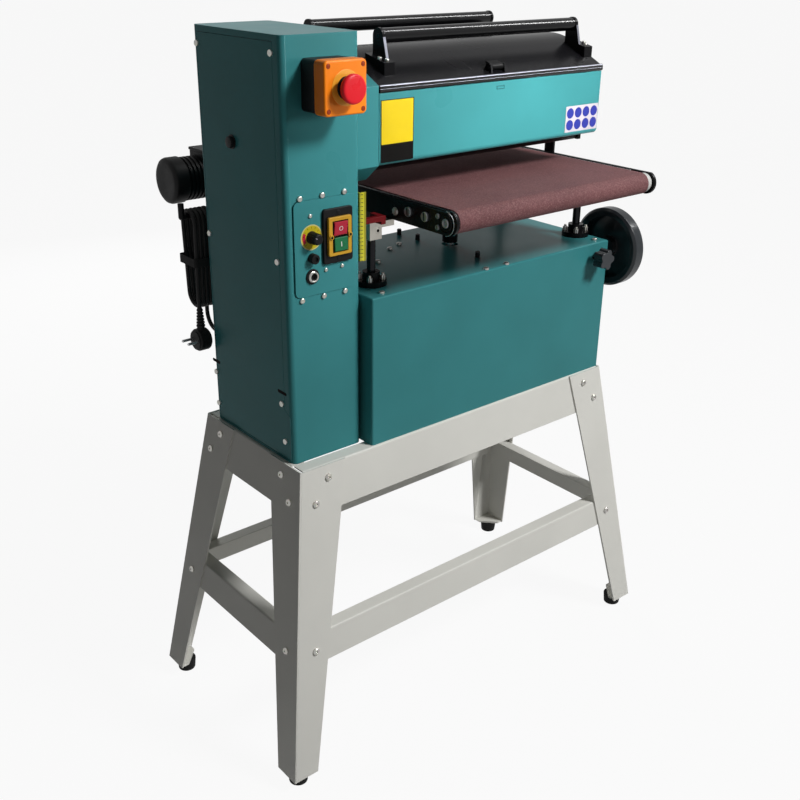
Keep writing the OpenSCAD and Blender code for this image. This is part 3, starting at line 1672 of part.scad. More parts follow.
module mains_plug() {
    x = hank_end[0];
    y = hank_end[1];
    mid_z = tail_end_z - relief_l - plug_d * half_share;
    color(black) {
        rod_x(x - plug_t * half_share, plug_t, plug_d, y, mid_z);
        translate([x, y, tail_end_z - relief_l - relief_in])
            cylinder(d1 = relief_d + relief_foot, d2 = cord_d + relief_tip, h = relief_l + relief_in);
        for (s = [-1, 1])
            rod_x(x - plug_t * half_share - plug_pin_l, plug_pin_l + cut, plug_pin_d,
                  y + s * plug_pin_pitch * half_share, mid_z);
    }
}

stand_legs();
stand_rails();
rubber_feet();
stand_bolts();
base_box();
cabinet();
cabinet_cover();
machine_screws();
control_panel();
switch_plate();
switch_frame();
stop_button();
start_button();
speed_knob();
reset_button();
panel_connector();
estop_base();
estop_cover();
estop_button();
head_arm();
head_panels();
head_end_plate();
bearings();
drum();
drum_shaft();
drive_belt();
main_motor();
motor_pulley();
hood();
hood_hinges();
hood_latch();
roller_brackets();
front_return_roller();
rear_roller_brackets();
rear_return_roller();
dust_spigot();
pressure_hangers();
front_pressure_roller();
rear_pressure_roller();
side_plates();
plate_screws();
bed_plate();
drive_roller();
idler_roller();
feed_belt();
guide_posts();
post_clamps();
post_flanges();
lift_bar();
lift_screw();
cross_shaft();
handwheel();
lock_knob();
depth_scale();
depth_pointer();
feed_gearmotor();
cord_fittings();
cord_ends();
cord_hank();
mains_plug();
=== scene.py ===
# Open-ended drum sander on a stand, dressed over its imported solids
import json
import math

import bmesh
import bpy
from mathutils import Matrix, Vector

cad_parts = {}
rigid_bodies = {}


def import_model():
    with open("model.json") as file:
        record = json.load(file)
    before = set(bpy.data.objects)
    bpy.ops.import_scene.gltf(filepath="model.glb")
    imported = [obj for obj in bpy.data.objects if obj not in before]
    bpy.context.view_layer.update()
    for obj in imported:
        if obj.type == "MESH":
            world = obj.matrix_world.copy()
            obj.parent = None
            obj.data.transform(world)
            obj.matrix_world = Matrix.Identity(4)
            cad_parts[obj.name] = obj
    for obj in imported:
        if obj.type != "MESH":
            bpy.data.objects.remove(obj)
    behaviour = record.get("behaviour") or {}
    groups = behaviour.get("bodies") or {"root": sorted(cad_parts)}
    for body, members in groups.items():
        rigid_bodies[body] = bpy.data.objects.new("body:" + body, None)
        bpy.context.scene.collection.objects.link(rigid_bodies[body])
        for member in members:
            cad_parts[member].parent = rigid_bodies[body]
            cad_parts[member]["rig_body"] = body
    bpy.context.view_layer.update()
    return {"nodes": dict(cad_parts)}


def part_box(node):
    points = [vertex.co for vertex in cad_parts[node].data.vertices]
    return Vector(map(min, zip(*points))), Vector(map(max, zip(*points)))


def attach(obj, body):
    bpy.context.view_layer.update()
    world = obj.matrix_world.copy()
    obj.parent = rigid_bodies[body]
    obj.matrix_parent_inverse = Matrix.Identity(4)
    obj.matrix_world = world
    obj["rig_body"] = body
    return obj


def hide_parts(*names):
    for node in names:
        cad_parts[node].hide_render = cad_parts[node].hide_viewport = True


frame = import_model()
NODE = frame["nodes"]
MM = 0.001


# Finishes: a socket with arithmetic, and a material that grows its own nodes
class Tone:
    """A shader socket whose arithmetic adds Math nodes."""

    def __init__(self, finish, socket):
        self.finish = finish
        self.socket = socket

    def math(self, operation, *values, clamp=False):
        settings = {"operation": operation, "use_clamp": clamp}
        return self.finish.node("ShaderNodeMath", settings, dict(enumerate(values)))

    def __add__(self, other):
        return self.math("ADD", self, other)

    def __sub__(self, other):
        return self.math("SUBTRACT", self, other)

    def __mul__(self, other):
        return self.math("MULTIPLY", self, other)

    def __truediv__(self, other):
        return self.math("DIVIDE", self, other)

    def __mod__(self, other):
        return self.math("FLOORED_MODULO", self, other)

    def __gt__(self, other):
        return self.math("GREATER_THAN", self, other)

    def __lt__(self, other):
        return self.math("LESS_THAN", self, other)

    def ramp(self, low, high):
        """0 at low, 1 at high, held outside."""
        return self.math("MULTIPLY", self - low, 1 / (high - low), clamp=True)


class Finish:
    """One procedural material on a Principled shader."""

    def __init__(self, name, **constant):
        self.material = bpy.data.materials.new(name)
        self.material.use_nodes = True
        self.tree = self.material.node_tree
        self.shader = self.tree.nodes["Principled BSDF"]
        self.place = self.node("ShaderNodeTexCoord", {}, {}, "Object")
        self.put({key.replace("_", " ").title().replace("Ior", "IOR"): value
                  for key, value in constant.items()})

    def node(self, kind, settings, sockets, out=0):
        node = self.tree.nodes.new(kind)
        for key, value in settings.items():
            setattr(node, key, value)
        for key, value in sockets.items():
            if isinstance(value, Tone):
                self.tree.links.new(value.socket, node.inputs[key])
            else:
                node.inputs[key].default_value = value
        return Tone(self, node.outputs[out])

    def put(self, sockets):
        for key, value in sockets.items():
            if isinstance(value, Tone):
                self.tree.links.new(value.socket, self.shader.inputs[key])
            else:
                self.shader.inputs[key].default_value = value

    def stretched(self, scale):
        return self.node("ShaderNodeMapping", {}, {"Vector": self.place, "Scale": scale})

    def noise(self, scale, detail=2.0, rough=0.5, place=None):
        sockets = {"Vector": place or self.place, "Scale": scale, "Detail": detail, "Roughness": rough}
        return self.node("ShaderNodeTexNoise", {}, sockets)

    def cells(self, scale, out):
        return self.node("ShaderNodeTexVoronoi", {}, {"Vector": self.place, "Scale": scale}, out)

    def mix(self, factor, first, second):
        sockets = {"Factor": factor, 6: first, 7: second}
        return self.node("ShaderNodeMix", {"data_type": "RGBA"}, sockets, 2)

    def axis(self, name):
        return self.node("ShaderNodeSeparateXYZ", {}, {"Vector": self.place}, name)

    def bump(self, height, strength, depth):
        sockets = {"Height": height, "Strength": strength, "Distance": depth}
        self.put({"Normal": self.node("ShaderNodeBump", {}, sockets)})


def rgb(red, green, blue):
    """A screen colour (0 to 255) as a linear socket value."""
    def linear(value):
        value = value / 255
        return value / 12.92 if value <= 0.04045 else ((value + 0.055) / 1.055) ** 2.4
    return (linear(red), linear(green), linear(blue), 1.0)


def shaded(colour, shade):
    return (colour[0] * shade, colour[1] * shade, colour[2] * shade, 1.0)


def paint(name, colour, rough, peel, specular=0.25, spread=0.06):
    """Sprayed paint: broad tone drift, uneven gloss and a fine orange peel."""
    sprayed = Finish(name, specular_ior_level=specular)
    drift = sprayed.noise(7, 3).ramp(0.3, 0.7)
    tone = sprayed.mix(drift, shaded(colour, 1 - spread), shaded(colour, 1 + spread))
    smears = sprayed.noise(11, 2)
    skin = sprayed.noise(330, 1) + sprayed.noise(1400, 1) * 0.35
    sprayed.put({"Base Color": tone, "Roughness": smears.ramp(0.25, 0.75) * 0.06 + (rough - 0.03)})
    sprayed.bump(skin, peel, 0.0004)
    return sprayed


def plastic(name, colour, rough, grain, spread=0.05, specular=0.4):
    """Moulded plastic: a faint spark-eroded grain and handled, shinier patches."""
    moulded = Finish(name, specular_ior_level=specular)
    drift = moulded.noise(25, 3)
    tone = moulded.mix(drift.ramp(0.3, 0.7), shaded(colour, 1 - spread), shaded(colour, 1 + spread))
    touch = moulded.noise(60, 3, 0.6).ramp(0.35, 0.75)
    moulded.put({"Base Color": tone, "Roughness": touch * -0.1 + rough})
    moulded.bump(moulded.noise(2600, 1), grain, 0.0002)
    return moulded


def metal(name, colour, rough, grain_scale, grain, spread=0.1, specks=0.0):
    """Bare or plated metal: drawn or turned grain along the stretched axes."""
    bare = Finish(name, metallic=1.0)
    grain_lines = bare.noise(1.0, 3, 0.6, bare.stretched(grain_scale))
    cloud = bare.noise(45, 4, 0.6)
    tone = bare.mix(cloud.ramp(0.3, 0.7), shaded(colour, 1 - spread), shaded(colour, 1.0))
    if specks:
        spangle = bare.cells(420, "Color")
        tone = bare.mix(specks, tone, spangle)
    bare.put({"Base Color": tone, "Roughness": grain_lines.ramp(0.2, 0.8) * 0.18 + (rough - 0.09)})
    bare.bump(grain_lines, grain, 0.0002)
    return bare


def rubber(name, colour, rough):
    soft = Finish(name, specular_ior_level=0.2)
    bloom = soft.noise(40, 4, 0.6).ramp(0.4, 0.75)
    soft.put({"Base Color": soft.mix(bloom, colour, shaded(colour, 1.7)), "Roughness": bloom * 0.12 + rough})
    soft.bump(soft.noise(1800, 2), 0.25, 0.0002)
    return soft


# Patterns: grains per metre, and places on the drum and the depth scale in metres
GRAIN_SCALE = 800
DRUM_AXIS_Z, STRIP_WIDTH, SEAM_SHARE = 1.03, 0.078, 0.02
SCALE_ZERO, TICK = 0.8542, 0.002
SHORT_TICK_X, LONG_TICK_X, SCALE_FOLD_X = -0.2090, -0.2058, -0.2036


def abrasive_cloth():
    """Coated abrasive: packed grains of two sizes in a resin coat, some of them lighter as painted glints."""
    grit = Finish("abrasive_cloth", specular_ior_level=0.2)
    grains = grit.cells(GRAIN_SCALE, "Distance")
    shade = grit.node("ShaderNodeSeparateColor", {}, {"Color": grit.cells(GRAIN_SCALE, "Color")}, "Red")
    fine = grit.noise(1500, 2, 0.6)
    drift = grit.noise(9, 4, 0.6).ramp(0.3, 0.7)
    base = grit.mix(drift, rgb(110, 71, 73), rgb(126, 83, 84))
    # Lighter grains: painted glints.
    tone = grit.mix(shade.ramp(0.55, 1.0) * 0.36, base, rgb(172, 133, 131))
    tone = grit.mix(shade.ramp(0.4, 0.0) * 0.45, tone, rgb(70, 40, 43))
    tone = grit.mix(fine.ramp(0.55, 0.8) * 0.3, tone, rgb(87, 50, 54))
    grit.put({"Base Color": tone, "Roughness": shade * 0.2 + 0.66})
    grit.bump(fine * 0.5 - grains, 0.45, 0.0005)
    return grit


def drum_wrap():
    """Sanding strip wound round the drum, with its seam as a dark helix, its grit coloured near black as
    painted shade under the head.
    """
    wrap = Finish("drum_abrasive_painted_shade", specular_ior_level=0.15)
    along, around_y, around_z = wrap.axis("X"), wrap.axis("Y"), wrap.axis("Z") - DRUM_AXIS_Z
    turn = around_y.math("ARCTAN2", around_y, around_z) / (2 * math.pi)
    helix = (along / STRIP_WIDTH + turn) % 1.0
    seam = (helix < SEAM_SHARE) * 0.85
    shade = wrap.node("ShaderNodeSeparateColor", {}, {"Color": wrap.cells(700, "Color")}, "Red")
    # Near-black grit tones: painted shade of the drum under the head.
    tone = wrap.mix(shade, rgb(40, 33, 32), rgb(64, 54, 51))
    wrap.put({"Base Color": wrap.mix(seam, tone, rgb(18, 15, 14)), "Roughness": shade * 0.2 + 0.65})
    wrap.bump(wrap.noise(1300, 2), 0.5, 0.0004)
    return wrap


def scale_paint():
    """Yellow-green depth scale with long and short dark ticks along one edge, painted darker past the fold as
    shade on the folded side.
    """
    ruler = Finish("scale_paint")
    height, across = ruler.axis("Z"), ruler.axis("X")
    step = (height - SCALE_ZERO) / TICK
    short = ((step % 1.0) < 0.3) * (across < SHORT_TICK_X)
    third = ((step % 3.0) < 0.55) * (across < LONG_TICK_X)
    ink = short.math("MAXIMUM", short, third)
    drift = ruler.noise(60, 3).ramp(0.3, 0.7)
    pale = ruler.mix(drift, rgb(206, 200, 34), rgb(218, 210, 52))
    # Past the fold the scale is painted darker: painted shade on the folded side.
    ground = ruler.mix(across > SCALE_FOLD_X, pale, rgb(158, 150, 32))
    ruler.put({"Base Color": ruler.mix(ink, ground, rgb(28, 28, 24)), "Roughness": drift * 0.1 + 0.36})
    return ruler


TEAL = paint("teal_paint", rgb(58, 130, 133), 0.30, 0.006, 0.1)
GREY = paint("pale_grey_paint", rgb(221, 220, 213), 0.42, 0.05, spread=0.03)
BLACK = paint("gloss_black_paint", rgb(15, 15, 17), 0.26, 0.02, 0.13, spread=0.12)
BAR_BLACK = paint("bar_black_enamel", rgb(12, 12, 14), 0.15, 0.01, 0.32, spread=0.12)
WHEEL_BLACK = paint("wheel_black_enamel", rgb(44, 48, 52), 0.2, 0.02, 0.4, spread=0.12)
DARK = plastic("black_plastic", rgb(22, 22, 23), 0.5, 0.12, specular=0.16)
SATIN_BLACK = paint("satin_black_enamel", rgb(18, 18, 19), 0.42, 0.1, 0.14, spread=0.1)
RUBBER = rubber("foot_rubber", rgb(22, 22, 22), 0.72)
CORD_RUBBER = rubber("cord_rubber", rgb(18, 18, 18), 0.55)
ZINC = metal("zinc_plate", rgb(205, 203, 196), 0.34, (160, 160, 900), 0.1, 0.18, specks=0.06)
STEEL = metal("turned_steel", rgb(196, 196, 198), 0.26, (1200, 60, 60), 0.12)
CLAMP = metal("clamp_aluminium", rgb(206, 202, 192), 0.42, (300, 300, 300), 0.25, 0.08)
ROLLER = paint("roller_white", rgb(206, 206, 203), 0.4, 0.05, spread=0.04)
ORANGE = plastic("orange_plastic", rgb(255, 138, 24), 0.4, 0.1, specular=0.2)
RED = plastic("red_plastic", rgb(230, 32, 44), 0.34, 0.05, specular=0.2)
KEY_RED = plastic("key_red_plastic", rgb(190, 40, 62), 0.34, 0.05, specular=0.2)
GREEN = plastic("green_plastic", rgb(36, 114, 72), 0.34, 0.05, specular=0.2)
YELLOW = plastic("yellow_plastic", rgb(210, 160, 48), 0.4, 0.08, specular=0.2)
WHITE_MARK = plastic("white_marking", rgb(224, 224, 220), 0.45, 0.04)
PALE_MARK = plastic("pale_yellow_marking", rgb(214, 206, 132), 0.45, 0.04, specular=0.2)
PLATE_WHITE = plastic("plate_white", rgb(180, 174, 180), 0.45, 0.04, specular=0.2)
BLUE_MARK = plastic("blue_marking", rgb(42, 50, 136), 0.45, 0.04, specular=0.15)
# Black for print and plates, and for painted shade in slots, holes and recesses.
BLACK_PRINT_AND_SHADE = plastic("black_print_and_painted_shade", rgb(19, 18, 17), 0.62, 0.04, specular=0.03)
RED_PAINT = paint("red_paint", rgb(108, 20, 24), 0.4, 0.06, 0.15)
GLOSS = paint("polished_black", rgb(20, 20, 21), 0.12, 0.02, 0.6)
# Grey metal laid on where the hood's beads and brackets catch the light: painted highlights.
PAINTED_HIGHLIGHT = metal("painted_highlight_grey", rgb(138, 140, 150), 0.34, (60, 900, 900), 0.08)
GREY_STEEL = metal("grey_steel", rgb(150, 152, 156), 0.36, (300, 300, 300), 0.15)
POST = metal("dark_steel", rgb(42, 42, 44), 0.24, (60, 60, 900), 0.1)
PRESS_STEEL = metal("blackened_steel", rgb(34, 33, 33), 0.5, (900, 60, 60), 0.1)
DIAL_YELLOW = plastic("dial_yellow", rgb(200, 182, 36), 0.4, 0.05, specular=0.15)
AMBER = plastic("amber_plastic", rgb(250, 172, 48), 0.42, 0.06)
# Darker orange: painted shade in the stop box's screw recesses.
SHADED_ORANGE = plastic("orange_plastic_painted_shade", rgb(170, 62, 22), 0.42, 0.06)
NOTICE = plastic("notice_yellow", rgb(212, 184, 22), 0.4, 0.04, specular=0.15)
SCALE = scale_paint()
GRIT = abrasive_cloth()
SHADED_DRUM_GRIT = drum_wrap()


# Making pieces
WALLS = {"front": ((1, 0, 0), (0, 0, -1), (0, 1, 0)), "top": ((1, 0, 0), (0, 1, 0), (0, 0, 1)),
         "left": ((0, 0, -1), (-1, 0, 0), (0, 1, 0)), "right": ((0, 0, 1), (1, 0, 0), (0, 1, 0))}
SHARP_ANGLE, EASE_ANGLE, SAME_PLANE = (math.radians(value) for value in (32, 28, 0.6))


def mm(*values):
    return tuple(value * MM for value in values)


def box_mm(node):
    """A node's low and high corners in millimetres."""
    return [Vector(corner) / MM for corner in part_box(node)]


def turn_z(degrees):
    return Matrix.Rotation(math.radians(degrees), 4, "Z")


def on(wall, x, y, z):
    """Places a shape made on the XY plane on a wall, its depth outwards, in millimetres."""
    return Matrix.Translation(mm(x, y, z)) @ Matrix(WALLS[wall]).to_4x4()


def piece(name, bm, body, finish, replaces=()):
    """Turns a bmesh into an object that rides on a body."""
    mesh = bpy.data.meshes.new(name)
    bm.to_mesh(mesh)
    bm.free()
    mesh.materials.append(finish.material)
    mesh.polygons.foreach_set("use_smooth", [True] * len(mesh.polygons))
    mesh.set_sharp_from_angle(angle=SHARP_ANGLE)
    made = bpy.data.objects.new(name, mesh)
    bpy.context.scene.collection.objects.link(made)
    flat = made.modifiers.new("flat_faces", "WEIGHTED_NORMAL")
    flat.keep_sharp = True
    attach(made, body)
    if replaces:
        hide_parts(*replaces)
    return made


def finished(node, bm, finish):
    """A piece that takes a node's place."""
    piece(node + "_finished", bm, NODE[node]["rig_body"], finish, (node,))


def round_edges(bm, edges, radius, segments, clamp=True):
    bmesh.ops.bevel(bm, geom=edges, offset=radius, offset_type="OFFSET", segments=segments, profile=0.5,
                    affect="EDGES", clamp_overlap=clamp, material=-1)


def block(bm, low, high, radius=0.0, segments=2):
    """A rounded block between two corners, in millimetres."""
    low, high = Vector(mm(*low)), Vector(mm(*high))
    place = Matrix.Translation((low + high) / 2) @ Matrix.Diagonal((*(high - low), 1.0))
    made = bmesh.ops.create_cube(bm, size=1.0, matrix=place)
    if radius:
        edges = list({edge for vert in made["verts"] for edge in vert.link_edges})
        round_edges(bm, edges, radius * MM, segments)


def lathe(bm, profile, place=Matrix.Identity(4), steps=48):
    """Spins (radius, height) points in millimetres about Z, then moves them by place."""
    line = [bm.verts.new(mm(radius, 0, height)) for radius, height in profile]
    edges = [bm.edges.new(pair) for pair in zip(line, line[1:])]
    known = set(bm.verts) - set(line)
    bmesh.ops.spin(bm, geom=line + edges, cent=(0, 0, 0), axis=(0, 0, 1), angle=2 * math.pi, steps=steps,
                   use_merge=True)
    fresh = [vert for vert in bm.verts if vert not in known]
    bmesh.ops.remove_doubles(bm, verts=fresh, dist=1e-6)
    fresh = [vert for vert in bm.verts if vert not in known]
    bmesh.ops.transform(bm, matrix=place, verts=fresh)
    faces = list({face for vert in fresh for face in vert.link_faces})
    bmesh.ops.recalc_face_normals(bm, faces=faces)


def outline_plate(bm, corners, depth, corner_radius, edge_radius, place):
    """A flat plate: 2-D corners in mm, rounded, given a depth along +Z, then moved by place."""
    known = set(bm.verts)
    face = bm.faces.new([bm.verts.new(mm(x, y, 0)) for x, y in corners])
    if corner_radius:
        bmesh.ops.bevel(bm, geom=face.verts[:], offset=corner_radius * MM, offset_type="OFFSET", segments=4,
                        profile=0.5, affect="VERTICES", clamp_overlap=True, material=-1)
    fresh = [f for f in bm.faces if not known.intersection(f.verts)]
    grown = bmesh.ops.extrude_face_region(bm, geom=fresh)
    top = [item for item in grown["geom"] if isinstance(item, bmesh.types.BMVert)]
    bmesh.ops.translate(bm, verts=top, vec=(0, 0, depth * MM))
    fresh = [vert for vert in bm.verts if vert not in known]
    faces = list({f for vert in fresh for f in vert.link_faces})
    bmesh.ops.recalc_face_normals(bm, faces=faces)
    if edge_radius:
        rim = list({edge for vert in top for edge in vert.link_edges if all(v in top for v in edge.verts)})
        round_edges(bm, rim, edge_radius * MM, 2)
    fresh = [vert for vert in bm.verts if vert not in known]
    bmesh.ops.transform(bm, matrix=place, verts=fresh)


def rectangle(width, height):
    x, y = width / 2, height / 2
    return [(-x, -y), (x, -y), (x, y), (-x, y)]


def turned(name, body, finish, profile, places, steps=48):
    """A piece made of one profile spun at each place."""
    bm = bmesh.new()
    for place in places:
        lathe(bm, profile, place, steps)
    piece(name, bm, body, finish)


def plates(name, body, finish, shape, places):
    """A piece made of flat plates; shape holds corners, depth, corner radius and edge radius."""
    bm = bmesh.new()
    for place in places:
        outline_plate(bm, *shape, place)
    piece(name, bm, body, finish)


def merged_copy(node):
    """A node's mesh with its coplanar triangles joined."""
    bm = bmesh.new()
    bm.from_mesh(NODE[node].data)
    bmesh.ops.remove_doubles(bm, verts=bm.verts, dist=2e-6)
    bmesh.ops.dissolve_limit(bm, angle_limit=SAME_PLANE, use_dissolve_boundaries=False,
                             verts=bm.verts, edges=bm.edges, delimit=set())
    return bm


def eased(node, finish, radius, segments=2, pick=None, fold=None):
    """A node's own shape with its edges eased, and its folds rounded where fold picks them."""
    bm = merged_copy(node)
    if fold:
        fold_radius, choose = fold
        folds = [edge for edge in bm.edges if len(edge.link_faces) == 2 and choose(edge)]
        if folds:
            round_edges(bm, folds, fold_radius * MM, 4, clamp=False)
    if radius:
        edges = [edge for edge in bm.edges
                 if len(edge.link_faces) == 2 and edge.calc_face_angle(0.0) > EASE_ANGLE
                 and (not pick or pick(edge))]
        if edges:
            round_edges(bm, edges, radius * MM, segments)
    finished(node, bm, finish)


def coloured(finish, *nodes):
    """Gives a finish to nodes that keep their CAD shape."""
    for node in nodes:
        for slot in NODE[node].material_slots:
            slot.material = finish.material


# Camera at the photograph's viewpoint
CAMERA_AT = (-1.1423, -1.3328, 1.3075)
AZIMUTH, ELEVATION, ROLL = (math.radians(value) for value in (-39.902, 24.052, 0.627))
away = math.cos(ELEVATION)
back = Vector((math.sin(AZIMUTH) * away, -math.cos(AZIMUTH) * away, math.sin(ELEVATION)))
right = Vector((math.cos(AZIMUTH), math.sin(AZIMUTH), 0.0))
up = back.cross(right)
turned_right = math.cos(ROLL) * right + math.sin(ROLL) * up
turned_up = math.cos(ROLL) * up - math.sin(ROLL) * right
lens = bpy.data.cameras.new("photo_lens")
lens.sensor_width = 36.0
lens.lens = 46.236
lens.shift_x, lens.shift_y = 0.00636, -0.00518
lens.clip_start = 0.05
camera = bpy.data.objects.new("photo_camera", lens)
camera.matrix_world = Matrix((turned_right, turned_up, back)).transposed().to_4x4()
camera.location = CAMERA_AT
bpy.context.scene.collection.objects.link(camera)
bpy.context.scene.camera = camera


# Mains cord: out of the gland, up into the hank over the hook, down to the plug
CORD_D = 7.0
LOOP_R, LOOP_Y, LOOP_LOW, LOOP_HIGH = 21.0, 138.0, 760.0, 880.0
HALF_LOOPS, RUN_POINTS, BEND_POINTS, LEAD_POINTS = 10, 5, 14, 8
HANK_X, HANK_SHIFT = -318.0, -37.134
LEAD_Z, LEAD_R, LEAD_BEND_Y, GLAND_FACE_Y = 690.0, 28.0, 131.0, 120.0
PLUG_X, PLUG_Y, PLUG_Z, PLUG_NECK_TOP = -355.134, 117.0, 687.0, 742.0
TIE_X, TIE_Z, TIE_W, TIE_T = -336.6, 812.0, 14.0, 1.2


def hank_route():
    """The hank's points and running lengths, loop after loop."""
    rear, front = LOOP_Y + LOOP_R, LOOP_Y - LOOP_R
    points, run = [], LOOP_HIGH - LOOP_LOW
    bend = math.pi * LOOP_R
    travelled = 0.0
    for half in range(HALF_LOOPS):
        rising = half % 2 == 0
        for part in range(RUN_POINTS):
            share = part / RUN_POINTS
            z = LOOP_LOW + run * share if rising else LOOP_HIGH - run * share
            points.append((rear if rising else front, z, travelled + run * share))
        travelled += run
        if half == HALF_LOOPS - 1:
            break
        for part in range(BEND_POINTS):
            angle = math.pi * part / BEND_POINTS
            side = LOOP_R * math.cos(angle)
            lift = LOOP_R * math.sin(angle)
            y = LOOP_Y + side if rising else LOOP_Y - side
            z = LOOP_HIGH + lift if rising else LOOP_LOW - lift
            points.append((y, z, travelled + bend * part / BEND_POINTS))
        travelled += bend
    return points, travelled


def cord_route():
    """All of the cord's points: lead, hank and tail."""
    lead = [(HANK_X, y, LEAD_Z) for y in (112.0, 116.0, GLAND_FACE_Y, 126.0)]
    for part in range(LEAD_POINTS + 1):
        angle = math.radians(90 * part / LEAD_POINTS)
        lead.append((HANK_X, LEAD_BEND_Y + LEAD_R * math.sin(angle), LEAD_Z + LEAD_R * (1 - math.cos(angle))))
    lead += [(HANK_X, LOOP_Y + LOOP_R, z) for z in (735.0, 748.0)]
    hank, length = hank_route()
    wound = [(HANK_X + HANK_SHIFT * along / length, y, z) for y, z, along in hank]
    end_x = HANK_X + HANK_SHIFT
    tail = [(end_x, LOOP_Y - LOOP_R, LOOP_LOW), (end_x, LOOP_Y - LOOP_R, 750.0),
            (end_x, PLUG_Y, PLUG_NECK_TOP - 3)]
    return [Vector(mm(*point)) for point in lead + wound + tail]


def make_cord():
    """The cord as one curve, and its length in metres."""
    route = cord_route()
    curve = bpy.data.curves.new("mains_cord", "CURVE")
    curve.dimensions = "3D"
    curve.bevel_depth = CORD_D / 2 * MM
    curve.bevel_resolution = 5
    curve.use_fill_caps = True
    spline = curve.splines.new("POLY")
    spline.points.add(len(route) - 1)
    for point, place in zip(spline.points, route):
        point.co = (*place, 1.0)
    spline.use_smooth = True
    curve.materials.append(CORD_RUBBER.material)
    cord = bpy.data.objects.new("mains_cord", curve)
    bpy.context.scene.collection.objects.link(cord)
    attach(cord, "machine")
    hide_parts("cord_hank", "cord_ends")
    return cord, sum((b - a).length for a, b in zip(route, route[1:]))


def make_plug():
    """Angled two-pin plug: ribbed round body, pins, ribbed neck up to the cord."""
    axis = on("right", PLUG_X, PLUG_Y, PLUG_Z)
    bm = bmesh.new()
    lathe(bm, [(0, -13), (15.5, -13), (16.5, -12.4), (16.5, -10.6), (17.2, -10), (18.4, -9.4), (19, -8.4),
               (19, 7), (18.2, 9.2), (15.5, 11.6), (11, 12.8), (0, 13)], axis, 64)
    for ridge in (-6.0, -2.6, 0.8, 4.2):
        lathe(bm, [(18.9, ridge - 0.9), (19, ridge - 0.6), (19, ridge + 0.6), (18.9, ridge + 0.9),
                   (18.4, ridge + 0.9), (18.4, ridge - 0.9), (18.9, ridge - 0.9)], axis, 64)
    neck = [(0, 12), (7.6, 12), (7.6, 19)]
    for rib in range(6):
        low = 20.5 + rib * 5.4
        wide = 7.4 - rib * 0.42
        neck += [(wide - 1.3, low), (wide - 1.3, low + 1.8), (wide, low + 2.4), (wide, low + 4.6)]
    neck += [(4.4, 53), (4.2, 55), (3.6, 55)]
    lathe(bm, neck, on("top", PLUG_X, PLUG_Y, PLUG_Z), 32)
    body = piece("mains_plug_body", bm, "machine", CORD_RUBBER, ("mains_plug",))
    bm = bmesh.new()
    for side in (-9.5, 9.5):
        lathe(bm, [(0, -32), (1.4, -31.9), (2.1, -31.2), (2.4, -30), (2.4, -12.6), (0, -12.6)],
              on("right", PLUG_X, PLUG_Y + side, PLUG_Z), 24)
    pins = piece("mains_plug_pins", bm, "machine", STEEL)
    return [body, pins]


def make_tie():
    """A flat strap tied round the hank's waist."""
    bm = bmesh.new()
    outline_plate(bm, rectangle(48.4, 53.4), TIE_W, 5.0, 0.0, on("top", TIE_X, LOOP_Y, TIE_Z))
    caps = [face for face in bm.faces if abs(face.normal.z) > 0.9]
    bmesh.ops.delete(bm, geom=caps, context="FACES_ONLY")
    bmesh.ops.solidify(bm, geom=bm.faces[:], thickness=TIE_T * MM)
    bmesh.ops.recalc_face_normals(bm, faces=bm.faces[:])
    piece("hank_strap", bm, "machine", RUBBER)


cord_piece, cord_length = make_cord()
plug_pieces = make_plug()
make_tie()
mm(HANK_X, GLAND_FACE_Y, LEAD_Z)


# Sheet metal and fittings that keep the CAD shape with eased edges
def long_convex(length, least_area):
    """Picks the long outside folds between two wide faces."""
    def choose(edge):
        wide = all(face.calc_area() > least_area for face in edge.link_faces)
        return edge.is_convex and wide and edge.calc_length() > length and edge.calc_face_angle(0.0) > 0.6
    return choose


EASED = (
    (ZINC, 0.4, "stand_bolts"),
    (TEAL, 0.5, "cabinet_cover", "control_panel"),
    (TEAL, 0.6, "head_panels"),
    (TEAL, 1.0, "head_arm"),
    (BLACK, 0.3, "hood"),
    (BLACK, 0.5, "hood_hinges", "roller_brackets", "rear_roller_brackets"),
    (BLACK, 0.6, "head_end_plate", "side_plates"),
    (BLACK, 0.7, "post_flanges", "lift_bar"),
    (SATIN_BLACK, 0.5, "hood_latch", "pressure_hangers", "cord_fittings"),
    (BAR_BLACK, 0.8, "front_return_roller", "rear_return_roller"),
    (WHEEL_BLACK, 0.6, "handwheel"),
    (DARK, 0.6, "dust_spigot"),
    (STEEL, 0.3, "lift_screw", "cross_shaft"),
    (STEEL, 0.4, "drum_shaft", "bed_plate"),
    (PRESS_STEEL, 0.5, "front_pressure_roller", "rear_pressure_roller"),
    (POST, 0.5, "guide_posts"),
    (CLAMP, 0.7, "post_clamps"),
    (ROLLER, 0.6, "drive_roller", "idler_roller"),
    (SHADED_DRUM_GRIT, 0.3, "drum"),
    (GRIT, 0.0, "feed_belt"),
    (SCALE, 0.2, "depth_scale"),
    (RED_PAINT, 0.4, "depth_pointer"))
for coat, ease, *nodes in EASED:
    for node in nodes:
        eased(node, coat, ease)
eased("stand_legs", GREY, 0.7, fold=(4.0, long_convex(0.3, 0.008)))
eased("stand_rails", GREY, 0.7, fold=(3.0, long_convex(0.15, 0.004)))
eased("base_box", TEAL, 0.6, fold=(3.5, long_convex(0.2, 0.02)))
eased("cabinet", TEAL, 0.6, fold=(3.0, long_convex(0.08, 0.01)))
eased("rubber_feet", RUBBER, 1.6, 3)
eased("lock_knob", WHEEL_BLACK, 1.2, 3)
coloured(STEEL, "bearings", "motor_pulley")
coloured(RUBBER, "drive_belt")
coloured(SATIN_BLACK, "main_motor")


